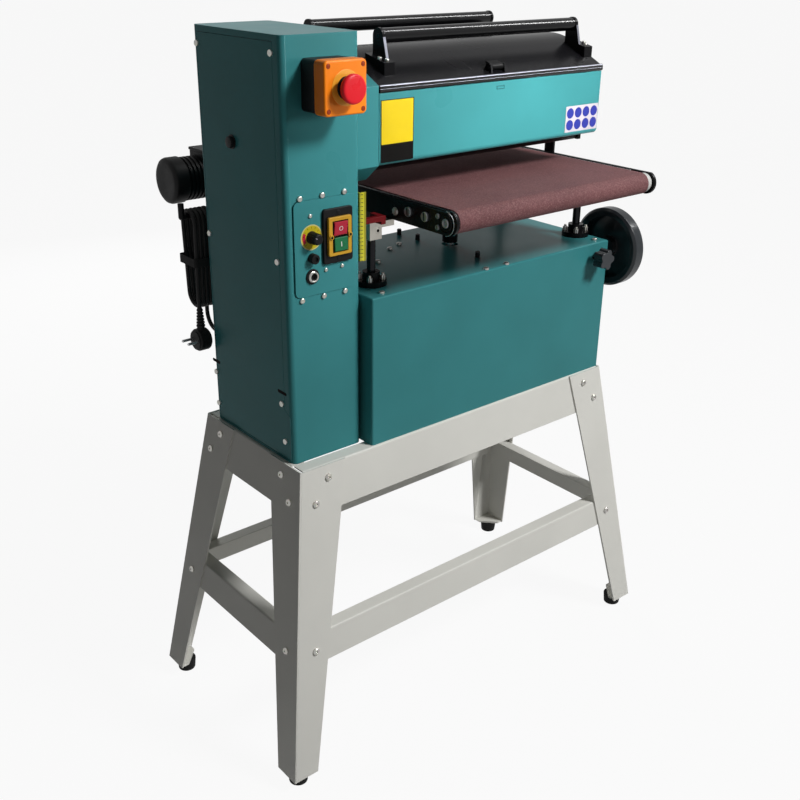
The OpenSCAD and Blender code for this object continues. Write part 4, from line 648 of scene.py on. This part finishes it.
# Fasteners
PANEL_Y, PANEL_FACE_Y = -133.0, -136.2
FLANGE_TOP_Z, FLANGE_BOLT_R = 808.9, 19.0
HEX_CORNER = 0.577
NUT_WIDTH, BROAD_SCREW = 13.0, 9.0


def stamped(bm, shape, places):
    """Adds a small shape to a mesh at each place."""
    mesh = bpy.data.meshes.new("stamp")
    shape.to_mesh(mesh)
    shape.free()
    for place in places:
        known = set(bm.verts)
        bm.from_mesh(mesh)
        bmesh.ops.transform(bm, matrix=place, verts=[vert for vert in bm.verts if vert not in known])
    bpy.data.meshes.remove(mesh)


def stamps(name, body, finish, shape, places):
    """A piece made of one small shape at each place."""
    bm = bmesh.new()
    stamped(bm, shape, places)
    piece(name, bm, body, finish)


def driven_head(diameter, height):
    """A domed screw head on the XY plane with a cross recess."""
    bm = bmesh.new()
    radius = diameter / 2
    lathe(bm, [(0, 0), (radius, 0), (radius, height * 0.45), (radius * 0.94, height * 0.74),
               (radius * 0.78, height * 0.92), (radius * 0.5, height), (0, height)], steps=28)
    half, reach = diameter * 0.075 * MM, diameter * 0.3 * MM
    cuts = [(half, 0), (-half, 0), (0, reach), (0, -reach), (reach, 0), (-reach, 0), (0, half), (0, -half)]
    for x, y in cuts:
        bmesh.ops.bisect_plane(bm, geom=bm.verts[:] + bm.edges[:] + bm.faces[:], dist=1e-7,
                               plane_co=(x, y, 0), plane_no=(1, 0, 0) if x else (0, 1, 0))

    def in_recess(face):
        spot = face.calc_center_median()
        along = abs(spot.x) < half and abs(spot.y) < reach
        across = abs(spot.y) < half and abs(spot.x) < reach
        return face.normal.z > 0.2 and (along or across)

    grown = bmesh.ops.extrude_face_region(bm, geom=[face for face in bm.faces if in_recess(face)])
    sunk = [item for item in grown["geom"] if isinstance(item, bmesh.types.BMVert)]
    bmesh.ops.translate(bm, verts=sunk, vec=(0, 0, -height * 0.4 * MM))
    return bm


def hex_head(across, height, washer=0.0):
    """A six-sided head with a chamfered crown, on a washer where it has one."""
    bm = bmesh.new()
    base = 0.0
    if washer:
        base = height * 0.25
        lathe(bm, [(0, 0), (washer / 2, 0), (washer / 2, base), (0, base)], steps=28)
    known = set(bm.verts)
    radius = across * HEX_CORNER * MM
    bmesh.ops.create_cone(bm, cap_ends=True, segments=6, radius1=radius, radius2=radius, depth=height * MM,
                          matrix=Matrix.Translation(mm(0, 0, base + height / 2)))
    top = (base + height * 0.99) * MM
    rim = [edge for edge in bm.edges if all(vert not in known and vert.co.z > top for vert in edge.verts)]
    round_edges(bm, rim, across * 0.07 * MM, 2)
    return bm


def socket_head(diameter, height):
    """A cap screw with a round socket."""
    bm = bmesh.new()
    radius = diameter / 2
    lathe(bm, [(0, 0), (radius, 0), (radius, height * 0.85), (radius * 0.86, height), (radius * 0.62, height),
               (radius * 0.56, height * 0.9), (radius * 0.5, height * 0.4), (0, height * 0.36)],
          steps=24)
    return bm


def shells(node):
    """The boxes of a node's separate solids, in millimetres."""
    bm = merged_copy(node)
    boxes, left = [], set(bm.verts)
    while left:
        group, fresh = set(), {left.pop()}
        while fresh:
            group |= fresh
            fresh = {edge.other_vert(vert) for vert in fresh for edge in vert.link_edges} - group
        left -= group
        low = Vector([min(vert.co[axis] for vert in group) for axis in range(3)])
        high = Vector([max(vert.co[axis] for vert in group) for axis in range(3)])
        boxes.append((low / MM, high / MM))
    bm.free()
    return sorted(boxes, key=lambda box: tuple(box[0]))


def make_machine_screws():
    """Cross-recessed pan heads on the panel, the cover and the base box."""
    bm = bmesh.new()
    for low, high in shells("machine_screws"):
        size, middle = high - low, (low + high) / 2
        thin = min(range(3), key=lambda axis: size[axis])
        place = (on("left", high.x, middle.y, middle.z), on("front", middle.x, high.y, middle.z),
                 on("top", middle.x, middle.y, low.z))[thin]
        if thin == 1 and high.y > PANEL_Y - 0.5:
            place = on("front", middle.x, PANEL_FACE_Y, middle.z)
        turn = Matrix.Rotation(middle.x * 0.37 + middle.z * 0.11, 4, "Z")
        stamped(bm, driven_head(max(size) * 1.08, min(size) * 1.25), [place @ turn])
    finished("machine_screws", bm, ZINC)


def make_plate_screws():
    """Slotted screws and a nut on the nose plate, with a black block in each slot as painted shade."""
    heads, nut, slots = bmesh.new(), bmesh.new(), bmesh.new()
    for low, high in shells("plate_screws"):
        size, middle = high - low, (low + high) / 2
        place = on("left", high.x, middle.y, middle.z)
        if abs(size.y - NUT_WIDTH) < 0.5:
            stamped(nut, hex_head(10, 2.1, NUT_WIDTH), [place])
            lathe(nut, [(0, 2.5), (2.6, 2.5), (2.6, 2.9), (2.2, 3), (0, 3)], place, 20)
            continue
        place = place @ Matrix.Rotation(0.12, 4, "Z")
        radius, rise = size.y / 2, size.x
        if size.y > BROAD_SCREW:
            radius, rise = radius * 1.1, rise * 1.5
        lathe(heads, [(0, 0), (radius, 0), (radius, rise * 0.75), (radius * 0.93, rise * 0.95),
                      (radius * 0.86, rise), (0, rise)], place, 32)
        # Black block filling the slot: painted shade of the slot.
        half_slot, reach = radius * 0.15, radius * 0.8
        slot = bmesh.new()
        block(slot, (-half_slot, -reach, rise * 0.6), (half_slot, reach, rise + 0.06))
        stamped(slots, slot, [place])
    finished("plate_screws", heads, GREY_STEEL)
    piece("plate_nut", nut, "table", ZINC)
    piece("plate_screw_slot_shade", slots, "table", BLACK_PRINT_AND_SHADE)


def make_flange_nuts():
    """Nuts on studs through the post flanges."""
    bm, places = bmesh.new(), []
    for low, high in shells("post_flanges"):
        middle = (low + high) / 2
        for quarter in range(4):
            angle = math.radians(45 + 90 * quarter)
            places.append(on("top", middle.x + FLANGE_BOLT_R * math.cos(angle),
                             middle.y + FLANGE_BOLT_R * math.sin(angle), FLANGE_TOP_Z))
    stamped(bm, hex_head(8.1, 7.3), places)
    stud = bmesh.new()
    lathe(stud, [(0, 7), (2.4, 7), (2.4, 10.2), (1.9, 10.8), (0, 10.8)], steps=16)
    stamped(bm, stud, places)
    piece("flange_nuts", bm, "machine", ZINC)


make_machine_screws()
make_plate_screws()
make_flange_nuts()


# Emergency stop
STOP_X, STOP_FACE_Y, STOP_Z = -279.0, -191.0, 1122.0
STOP_SCREW_X, STOP_SCREW_Z = 29.2, 29.4
STOP_HOLE_REACH = 20.0


def make_stop_box():
    front = on("front", STOP_X, STOP_FACE_Y, STOP_Z)
    middle = Vector(mm(STOP_X, STOP_FACE_Y, STOP_Z))

    def on_rim(edge):
        """Picks the cover's front rim, clear of the hole in its middle."""
        return all(vert.co.y < (STOP_FACE_Y + 0.1) * MM and (vert.co - middle).length > STOP_HOLE_REACH * MM
                   for vert in edge.verts)

    def corners(y):
        return [on("front", STOP_X + side * STOP_SCREW_X, y, STOP_Z + level * STOP_SCREW_Z)
                for side in (-1, 1) for level in (-1, 1)]

    eased("estop_base", DARK, 1.4, 3)
    eased("estop_cover", ORANGE, 3.0, 4, pick=on_rim)
    turned("stop_legend_ring", "machine", AMBER,
           [(13.4, 0), (24, 0), (24, 0.5), (23.5, 0.8), (13.4, 0.8)], [front], 64)
    turned("stop_collar", "machine", DARK,
           [(13.3, 0.7), (15.4, 0.7), (15.4, 1.9), (14.9, 2.6), (13.9, 2.8), (13.3, 2.8)], [front], 64)
    # Corner wells and their screws in darker orange: painted shade of the recesses.
    turned("stop_cover_wells", "machine", SHADED_ORANGE,
           [(0, 0.1), (2.5, 0.1), (2.7, 0.45), (3.2, 0.45), (3.5, 0)], corners(STOP_FACE_Y), 24)
    stamps("stop_cover_screws", "machine", SHADED_ORANGE, driven_head(4.6, 0.7), corners(STOP_FACE_Y - 0.05))
    bm = bmesh.new()
    lathe(bm, [(0, 12.2), (13.2, 12.2), (18.2, 12.4), (19.5, 13), (20, 14), (20, 17.4), (19.6, 19),
               (18.6, 20.2), (17, 20.8), (14.5, 21), (0, 21)], front, 64)
    finished("estop_button", bm, RED)
    turned("stop_stem", "estop_head", DARK,
           [(0, -24), (13, -24), (13, 9.6), (14.6, 11.2), (14.6, 12.3), (0, 12.3)], [front])


make_stop_box()


# Control panel
PANEL_T = 1.3
DIAL_X, DIAL_Z = -303.0, 908.0
DIAL_START, DIAL_STEP, TICK_SWEEP = 225.0, 27.0, 2.2
KNOB_RIDGES, KNOB_R = 15, 8.25
SWITCH_PLATE_Y, SWITCH_FACE_Y = -141.0, -146.0
WELL_W, WELL_H, WELL_T = 28.5, 47.0, 0.15
KEY_GAP = 0.4
STOP_LEAN, START_LEAN = 2.6, -1.2
EAR_SIDES = (-16.6, 17.4)


def arc_band(bm, inner, outer, low, high, start, sweep, place):
    """A flat band between two radii over part of a turn, angles in degrees from +X."""
    known = set(bm.verts)
    corners = [(inner, low), (outer, low), (outer, high), (inner, high)]
    face = bm.faces.new([bm.verts.new(mm(radius, 0, height)) for radius, height in corners])
    bmesh.ops.spin(bm, geom=[face] + face.edges[:] + face.verts[:], cent=(0, 0, 0), axis=(0, 0, 1),
                   angle=math.radians(sweep), steps=max(4, int(sweep / 6)))
    fresh = [vert for vert in bm.verts if vert not in known]
    bmesh.ops.recalc_face_normals(bm, faces=list({f for vert in fresh for f in vert.link_faces}))
    bmesh.ops.transform(bm, matrix=place @ turn_z(start), verts=fresh)


def make_dial():
    dial = on("front", DIAL_X, PANEL_FACE_Y, DIAL_Z)
    turned("dial_rim", "machine", PALE_MARK,
           [(17.4, 0), (19, 0), (19, 0.2), (18.7, 0.28), (17.4, 0.28)], [dial], 64)
    turned("dial_plate", "machine", DIAL_YELLOW,
           [(0, 0), (17.5, 0), (17.5, 0.22), (0, 0.22)], [dial], 64)
    bm = bmesh.new()
    arc_band(bm, 11.0, 16.4, 0.1, 0.3, 150, 65, dial)
    piece("dial_red_arc", bm, "machine", KEY_RED)
    bm = bmesh.new()
    for tick in range(11):
        arc_band(bm, 13.2, 15.8, 0.1, 0.34, DIAL_START - DIAL_STEP * tick - TICK_SWEEP / 2, TICK_SWEEP, dial)
    piece("dial_ticks", bm, "machine", BLACK_PRINT_AND_SHADE)


def make_speed_knob():
    """Ridged knob with a pale index line."""
    knob = on("front", DIAL_X, PANEL_Y, DIAL_Z)
    bm = bmesh.new()
    lathe(bm, [(0, 0.4), (9.5, 0.4), (9.5, 3.4), (8.8, 4.4), (8.5, 5), (8.0, 19.6), (7.4, 21.6), (6.4, 22.4),
               (0, 22.4)], knob, 48)
    ridge = bmesh.new()
    block(ridge, (-0.5, -0.5, 5.0), (0.5, 0.5, 19.0), 0.3)
    out = Matrix.Translation(mm(KNOB_R, 0, 0))
    stamped(bm, ridge, [knob @ turn_z(360 / KNOB_RIDGES * step) @ out for step in range(KNOB_RIDGES)])
    finished("speed_knob", bm, DARK)
    bm = bmesh.new()
    block(bm, (-0.5, 3.6, 22.2), (0.5, 6.8, 22.55), 0.1)
    bmesh.ops.transform(bm, matrix=knob @ turn_z(60), verts=bm.verts)
    piece("knob_index", bm, "speed_knob", PLATE_WHITE)


def make_reset():
    low, high = box_mm("reset_button")
    middle, depth, radius = (low + high) / 2, high.y - low.y, (high.x - low.x) / 2
    bm = bmesh.new()
    lathe(bm, [(0, 0), (radius, 0), (radius, depth - 1.4), (radius - 0.6, depth - 0.4), (radius - 1.6, depth),
               (radius * 0.52, depth), (radius * 0.46, depth - 2.4), (0, depth - 2.6)],
          on("front", middle.x, high.y, middle.z), 40)
    finished("reset_button", bm, DARK)


def make_connector():
    """Round socket: flange, threaded sleeve and a core with three pins."""
    low, high = box_mm("panel_connector")
    middle = (low + high) / 2
    place = on("front", middle.x, PANEL_FACE_Y, middle.z)
    bm = bmesh.new()
    lathe(bm, [(8.2, 0), (11.5, 0), (11.5, 1.5), (10.8, 2.2), (9, 2.6), (8.2, 2.4)], place, 48)
    finished("panel_connector", bm, DARK)
    bm = bmesh.new()
    lathe(bm, [(5.7, 0.1), (8.1, 0.1), (8.1, 5.0), (7.6, 5.7), (6.2, 5.7), (5.7, 5.2), (5.7, 0.1)], place, 48)
    for thread in (3.0, 4.0):
        lathe(bm, [(8.0, thread), (8.4, thread + 0.25), (8.0, thread + 0.5)], place, 48)
    piece("connector_sleeve", bm, "machine", ZINC)
    bm = bmesh.new()
    lathe(bm, [(0, 0.2), (5.8, 0.2), (5.8, 0.6), (0, 0.6)], place, 32)
    for pin in range(3):
        angle = math.radians(90 + 120 * pin)
        lathe(bm, [(0.9, 0.4), (0.9, 3.4), (0.5, 3.9), (0, 3.9)],
              place @ Matrix.Translation(mm(3 * math.cos(angle), 3 * math.sin(angle), 0)), 12)
    piece("connector_core", bm, "machine", DARK)


def make_switch_recess_shade(x, z):
    """Black sheet round the two keys, painted shade of the recess they sit in, open where they go in."""
    left, right, top = x - WELL_W / 2, x + WELL_W / 2, z + WELL_H / 2
    bm = bmesh.new()

    def strip(x_low, z_low, x_high, z_high):
        block(bm, (x_low, SWITCH_FACE_Y - WELL_T, z_low), (x_high, SWITCH_FACE_Y, z_high))

    bottom = z - WELL_H / 2
    for node in ("start_button", "stop_button"):
        low, high = box_mm(node)
        key_low, key_high = low.z - KEY_GAP, high.z + KEY_GAP
        strip(left, bottom, right, key_low)
        strip(left, key_low, low.x - KEY_GAP, key_high)
        strip(high.x + KEY_GAP, key_low, right, key_high)
        bottom = key_high
    strip(left, bottom, right, top)
    piece("switch_recess_shade", bm, "machine", BLACK_PRINT_AND_SHADE)


def make_key(node, finish, lean):
    """A key whose face leans back at its foot, or at its top where lean is negative."""
    low, high = box_mm(node)
    bm = bmesh.new()
    block(bm, low, high)
    for vert in bm.verts:
        front = vert.co.y < (low.y + 0.1) * MM
        upper = vert.co.z > (low.z + 1) * MM
        if front and upper == (lean < 0):
            vert.co.y += abs(lean) * MM
    round_edges(bm, bm.edges[:], 0.9 * MM, 3)
    finished(node, bm, finish)


def key_face(node, x, lean):
    low, high = box_mm(node)
    tilt = Matrix.Rotation(math.atan2(lean, high.z - low.z), 4, "X")
    return on("front", x, low.y + abs(lean) / 2, (low.z + high.z) / 2) @ tilt


def make_switch():
    eased("switch_plate", DARK, 1.4, 3)
    eased("switch_frame", YELLOW, 1.3, 3)
    low, high = box_mm("switch_plate")
    x, z = (low.x + high.x) / 2, (low.z + high.z) / 2
    ears = [on("front", x + side, SWITCH_FACE_Y, z) for side in EAR_SIDES]
    # Thin black sheet as painted shade of the recess round the keys.
    make_switch_recess_shade(x, z)
    bm = bmesh.new()
    for level in (-35.0, 35.0):
        lathe(bm, [(0, 0), (3.0, 0), (3.0, 0.3), (2.4, 0.7), (0, 0.7)],
              on("front", x, SWITCH_PLATE_Y, z + level), 24)
    for place in ears:
        lathe(bm, [(0, 0.5), (1.6, 0.5), (1.9, 1.7), (2.3, 1.7), (2.3, 0)], place, 20)
    piece("switch_screws", bm, "machine", DARK)
    turned("switch_ears", "machine", YELLOW,
           [(2.2, 0), (3.7, 0), (3.7, 1.3), (3.2, 1.9), (2.2, 1.9)], ears, 28)
    make_key("stop_button", KEY_RED, STOP_LEAN)
    make_key("start_button", GREEN, START_LEAN)
    turned("stop_mark", "stop_key", WHITE_MARK,
           [(2.5, -0.1), (3.5, -0.1), (3.5, 0.15), (2.5, 0.15), (2.5, -0.1)],
           [key_face("stop_button", x, STOP_LEAN)], 32)
    bm = bmesh.new()
    block(bm, (-0.7, -3.6, -0.1), (0.7, 3.6, 0.15), 0.1)
    bmesh.ops.transform(bm, matrix=key_face("start_button", x, START_LEAN), verts=bm.verts)
    piece("start_mark", bm, "start_key", WHITE_MARK)


plates("panel_face", "machine", TEAL, (rectangle(111, 143.5), PANEL_T, 9.0, 0.35),
       [on("front", -277.6, PANEL_FACE_Y + PANEL_T, 891.1)])
make_dial()
make_speed_knob()
make_reset()
make_connector()
make_switch()


# Head
HEAD_FACE_Y = -121.5
NOTICE_X = -130.5
DISC_X, DISC_Z, DISC_STEP_X, DISC_STEP_Z = 259.75, 1011.5, 20.5, 20.0
BEAD_Y, BEAD_LEVELS = -120.5, (1101.8, 1106.0)
# Upper arc of each bead, and the brackets' front edges, painted as highlights.
BAND_START, BAND_STEP, BAND_R, BAND_INNER_R = 112.0, 12.0, 3.85, 3.4
BRACKET_EDGE = [(-73.8, 1171), (-74.5, 1171), (-83.1, 1138.2), (-82.3, 1138.2)]
HOOD_RISE, HOOD_RUN = 10.9, 47.0
FOOT_SCREWS = ((-132, -80), (-125.5, -89.5), (322.5, -89.5), (329, -80))
FOOT_Y, FOOT_Z, FOOT_SLOPE = -97.0, 1136.8, 0.232
COVER_X = -346.0


def make_head_plates():
    """Blank notice plate, white plate with discs, and the latch's keeper flap."""
    plates("notice_plate_yellow", "machine", NOTICE, (rectangle(61.6, 64), 0.55, 0.8, 0.1),
           [on("front", NOTICE_X, HEAD_FACE_Y, 1055.0)])
    plates("notice_plate_black", "machine", BLACK_PRINT_AND_SHADE, (rectangle(64.4, 92.2), 0.4, 1.0, 0.1),
           [on("front", NOTICE_X, HEAD_FACE_Y, 1041.9)])
    plates("disc_plate_white", "machine", PLATE_WHITE, (rectangle(84, 44), 0.5, 1.2, 0.2),
           [on("front", 290.5, HEAD_FACE_Y, 1021.5)])
    turned("plate_discs", "machine", BLUE_MARK, [(0, 0.4), (8.8, 0.4), (8.8, 0.66), (0, 0.66)],
           [on("front", DISC_X + DISC_STEP_X * column, HEAD_FACE_Y, DISC_Z + DISC_STEP_Z * row)
            for column in range(4) for row in range(2)], 32)
    plates("keeper_flap", "machine", TEAL, (rectangle(15.8, 3.8), 1.6, 0.8, 0.3),
           [on("front", 86.0, -119.8, 1088.0)])


def make_hood_trim():
    """Two rolled beads along the hood's front edge, painted highlights on the beads' upper arc and on the
    brackets' front edges, and the brackets' screws.
    """
    low, high = box_mm("hood")
    length = high.x - low.x
    turned("hood_front_beads", "hood", GLOSS,
           [(0, 0), (3.2, 0), (3.6, 0.5), (3.6, length - 0.5), (3.2, length), (0, length)],
           [on("right", low.x, BEAD_Y, level) for level in BEAD_LEVELS], 32)
    turns = [math.radians(BAND_START + BAND_STEP * step) for step in range(4)]
    band = [(BAND_R * math.cos(turn), BAND_R * math.sin(turn)) for turn in turns]
    band += [(BAND_INNER_R * math.cos(turn), BAND_INNER_R * math.sin(turn)) for turn in reversed(turns)]
    # Painted highlights: strips on the beads' upper arc and on the brackets' front edges.
    bm = bmesh.new()
    for level in BEAD_LEVELS:
        outline_plate(bm, band, length - 1, 0.0, 0.0, on("right", low.x + 0.5, BEAD_Y, level))
    for x in (-120.8, 313.2):
        outline_plate(bm, BRACKET_EDGE, 4.6, 0.0, 0.0, on("right", x, 0, 0))
    piece("hood_painted_highlights", bm, "hood", PAINTED_HIGHLIGHT)
    lean = Matrix.Rotation(math.atan2(HOOD_RISE, HOOD_RUN), 4, "X")
    stamps("bracket_foot_screws", "hood", ZINC, socket_head(6.4, 3.4),
           [on("top", x, y, FOOT_Z + (y - FOOT_Y) * FOOT_SLOPE) @ lean for x, y in FOOT_SCREWS])


def make_cover_fittings():
    """Cap in line with the drum, and two keyhole slots, drawn as flat black plates of painted shade, on the
    cabinet's cover.
    """
    turned("cover_cap", "machine", DARK,
           [(0, 0), (10.5, 0), (10.5, 1.2), (8.6, 1.4), (8.6, 5.6), (7.8, 6.9), (5, 7.4), (0, 7.5)],
           [on("left", COVER_X, 0.0, 1030.0)])
    # Keyhole slots: flat black plates as painted shade of the openings.
    plates("cover_keyhole_shade", "machine", BLACK_PRINT_AND_SHADE, (rectangle(24, 5.4), 0.15, 2.6, 0.0),
           [on("left", COVER_X, -109.0, 664.0), on("left", COVER_X, 88.0, 654.0)])


make_head_plates()
make_hood_trim()
make_cover_fittings()


# Feed table
BRIDGE_BOLTS = ((66.0, 105.0), (70.5, 57.5), (79.0, -92.5))
BOX_TOP_Z = 800.0
MOTOR_RIBS, RIB_START, RIB_STEP = 18, 27.0, 7.4


def make_table_fittings():
    """Axle end on the nose, bolts on the base box's top and bores in the post clamps, their holes painted as
    black discs of shade.
    """
    axle = on("left", -130.0, -238.0, 922.7)
    turned("axle_end", "idler_roller", GREY_STEEL,
           [(0, 3.2), (3.4, 3.2), (3.8, 4.6), (4.6, 5), (6.2, 5), (7.2, 4.2), (7.2, -1)], [axle], 40)
    turned("axle_ring", "table", BLACK,
           [(8, 0), (13.3, 0), (13.3, 3), (12.5, 3.9), (9, 3.9), (8, 3.2), (8, 0)], [axle])
    bm = bmesh.new()
    arc_band(bm, 18.2, 19.5, 3.8, 4.25, -85, 170, axle)
    piece("nose_rim", bm, "table", GREY_STEEL)
    stamps("bridge_bolts", "machine", POST, socket_head(8.5, 10.5),
           [on("top", x, y, BOX_TOP_Z) for x, y in BRIDGE_BOLTS])
    bores = [on("front", x, -110.0, 889.0) for x in (-158.0, 331.0)]
    turned("clamp_bore_rims", "table", CLAMP,
           [(2.4, -0.4), (2.6, 0.25), (4.6, 0.25), (5.0, 0)], bores, 28)
    # Black disc in each bore: painted shade of the hole.
    turned("clamp_bore_shade", "table", BLACK_PRINT_AND_SHADE, [(0, 0.12), (2.7, 0.12), (2.7, 0)], bores, 24)


def make_feed_motor():
    """Gearbox, ribbed motor, end cap and terminal box behind the cabinet."""
    bm = bmesh.new()
    block(bm, (-191, 188.3, 898.7), (-130.3, 250.2, 960.7), 7.0, 4)
    for y in (195.8, 242.7):
        for z in (906.2, 953.2):
            stamped(bm, hex_head(8, 4, 11), [on("left", -190.9, y, z)])
    finished("feed_gearmotor", bm, CLAMP)
    axis = on("right", -353.0, 206.5, 936.7)
    profile = [(0, 25.5), (35, 25.5)]
    for rib in range(MOTOR_RIBS):
        start = RIB_START + rib * RIB_STEP
        profile += [(33.6, start), (33.6, start + 3.6), (36, start + 4.1), (36, start + 6.9)]
    profile += [(33.6, 161.5), (0, 161.5)]
    turned("feed_motor_body", "table", SATIN_BLACK, profile, [axis], 64)
    turned("feed_motor_cap", "table", DARK,
           [(0, 1.2), (8, 1.0), (20, 0.4), (29, 0), (33.5, 0.8), (36.6, 3.2), (38, 7), (38, 24.6), (37.4, 25.6),
            (0, 25.6)], [axis], 64)
    bm = bmesh.new()
    block(bm, (-293, 183.5, 966), (-223, 229.5, 980.5), 3.0, 3)
    block(bm, (-294, 182.5, 978.7), (-222, 230.5, 983.7), 1.6, 3)
    for x in (-288, -228):
        for y in (188.5, 224.5):
            stamped(bm, driven_head(5, 1.2), [on("top", x, y, 983.0)])
    piece("feed_terminal_box", bm, "table", DARK)


make_table_fittings()
make_feed_motor()


# Floor, light and world: white to the camera, dimmer in reflections, a faint fill elsewhere
MIRRORED = 0.6
WORLD_FILL = 0.045
FLOOR_SIZE, FLOOR_GLOW = 60.0, 0.93
HEAD_LAMP_LIGHTS = (
    "head_panels_finished", "head_arm_finished", "keeper_flap", "notice_plate_yellow", "notice_plate_black",
    "disc_plate_white", "plate_discs", "hood_finished", "cabinet_finished", "panel_face", "estop_base_finished",
    "estop_cover_finished", "stop_legend_ring", "estop_button_finished")


def make_stage():
    bm = bmesh.new()
    bmesh.ops.create_grid(bm, x_segments=2, y_segments=2, size=FLOOR_SIZE)
    mesh = bpy.data.meshes.new("studio_floor")
    bm.to_mesh(mesh)
    bm.free()
    ground = Finish("studio_floor", roughness=0.9, specular_ior_level=0.1)
    ground.put({"Base Color": ground.mix(ground.noise(3, 2), (0.48, 0.48, 0.48, 1), (0.5, 0.5, 0.5, 1))})
    glow = ground.node("ShaderNodeEmission", {}, {"Color": (1, 1, 1, 1), "Strength": 1.0})
    seen = ground.node("ShaderNodeLightPath", {}, {}, "Is Camera Ray")
    mirrored = ground.node("ShaderNodeLightPath", {}, {}, "Is Glossy Ray")
    through = ground.node("ShaderNodeLightPath", {}, {}, "Is Transmission Ray")
    share = seen.math("ADD", seen, mirrored * MIRRORED + through, clamp=True) * FLOOR_GLOW
    lit = Tone(ground, ground.shader.outputs[0])
    both = ground.node("ShaderNodeMixShader", {}, {0: share, 1: lit, 2: glow})
    ground.tree.links.new(both.socket, ground.tree.nodes["Material Output"].inputs["Surface"])
    mesh.materials.append(ground.material)
    floor = bpy.data.objects.new("studio_floor", mesh)
    bpy.context.scene.collection.objects.link(floor)


def make_world():
    world = bpy.data.worlds.new("studio")
    world.use_nodes = True
    bpy.context.scene.world = world
    tree = world.node_tree
    sky = tree.nodes["Background"]
    sky.inputs["Color"].default_value = (1, 1, 1, 1)
    path = tree.nodes.new("ShaderNodeLightPath")
    level = None
    for ray, share in (("Is Camera Ray", 1.0), ("Is Glossy Ray", MIRRORED), ("Is Transmission Ray", 1.0)):
        both = tree.nodes.new("ShaderNodeMath")
        both.operation = "MULTIPLY_ADD"
        both.use_clamp = True
        both.inputs[1].default_value = share
        both.inputs[2].default_value = 0.0
        tree.links.new(path.outputs[ray], both.inputs[0])
        if level:
            tree.links.new(level, both.inputs[2])
        level = both.outputs[0]
    strength = tree.nodes.new("ShaderNodeMapRange")
    strength.inputs["To Min"].default_value = WORLD_FILL
    strength.inputs["To Max"].default_value = 1.0
    tree.links.new(level, strength.inputs["Value"])
    tree.links.new(strength.outputs[0], sky.inputs["Strength"])


def make_lamp(name, place, aim, size, power, spread=180, diffuse=True, glossy=True):
    lamp = bpy.data.lights.new(name, "AREA")
    lamp.shape = "RECTANGLE"
    lamp.size, lamp.size_y = size
    lamp.energy = power
    lamp.spread = math.radians(spread)
    stand = bpy.data.objects.new(name, lamp)
    stand.location = place
    stand.rotation_euler = (Vector(aim) - Vector(place)).to_track_quat("-Z", "Y").to_euler()
    stand.visible_camera = False
    stand.visible_diffuse = diffuse
    stand.visible_glossy = glossy
    bpy.context.scene.collection.objects.link(stand)
    return stand


def light_only(lamp, names):
    """Keeps a lamp's light on the named pieces."""
    lit = bpy.data.collections.new(lamp.name + "_lights")
    for name in names:
        lit.objects.link(bpy.data.objects[name])
    lamp.light_linking.receiver_collection = lit


make_stage()
make_world()
make_lamp("key_softbox", (1.15, -2.5, 3.1), (0.0, 0.0, 0.75), (0.85, 0.65), 116)
head_lamp = make_lamp("head_softbox", (0.48, -1.1, 1.25), (0.13, -0.12, 1.07), (0.4, 0.2), 1.05, 40)
light_only(head_lamp, HEAD_LAMP_LIGHTS)
make_lamp("rear_softbox", (1.0, 3.0, 1.25), (0.0, 0.0, 0.75), (1.2, 0.9), 45, glossy=False)
make_lamp("edge_strip", (1.55, -0.72, 2.7), (0.08, -0.06, 1.15), (0.1, 1.6), 30, diffuse=False)
bpy.context.scene.view_settings.view_transform = "Standard"
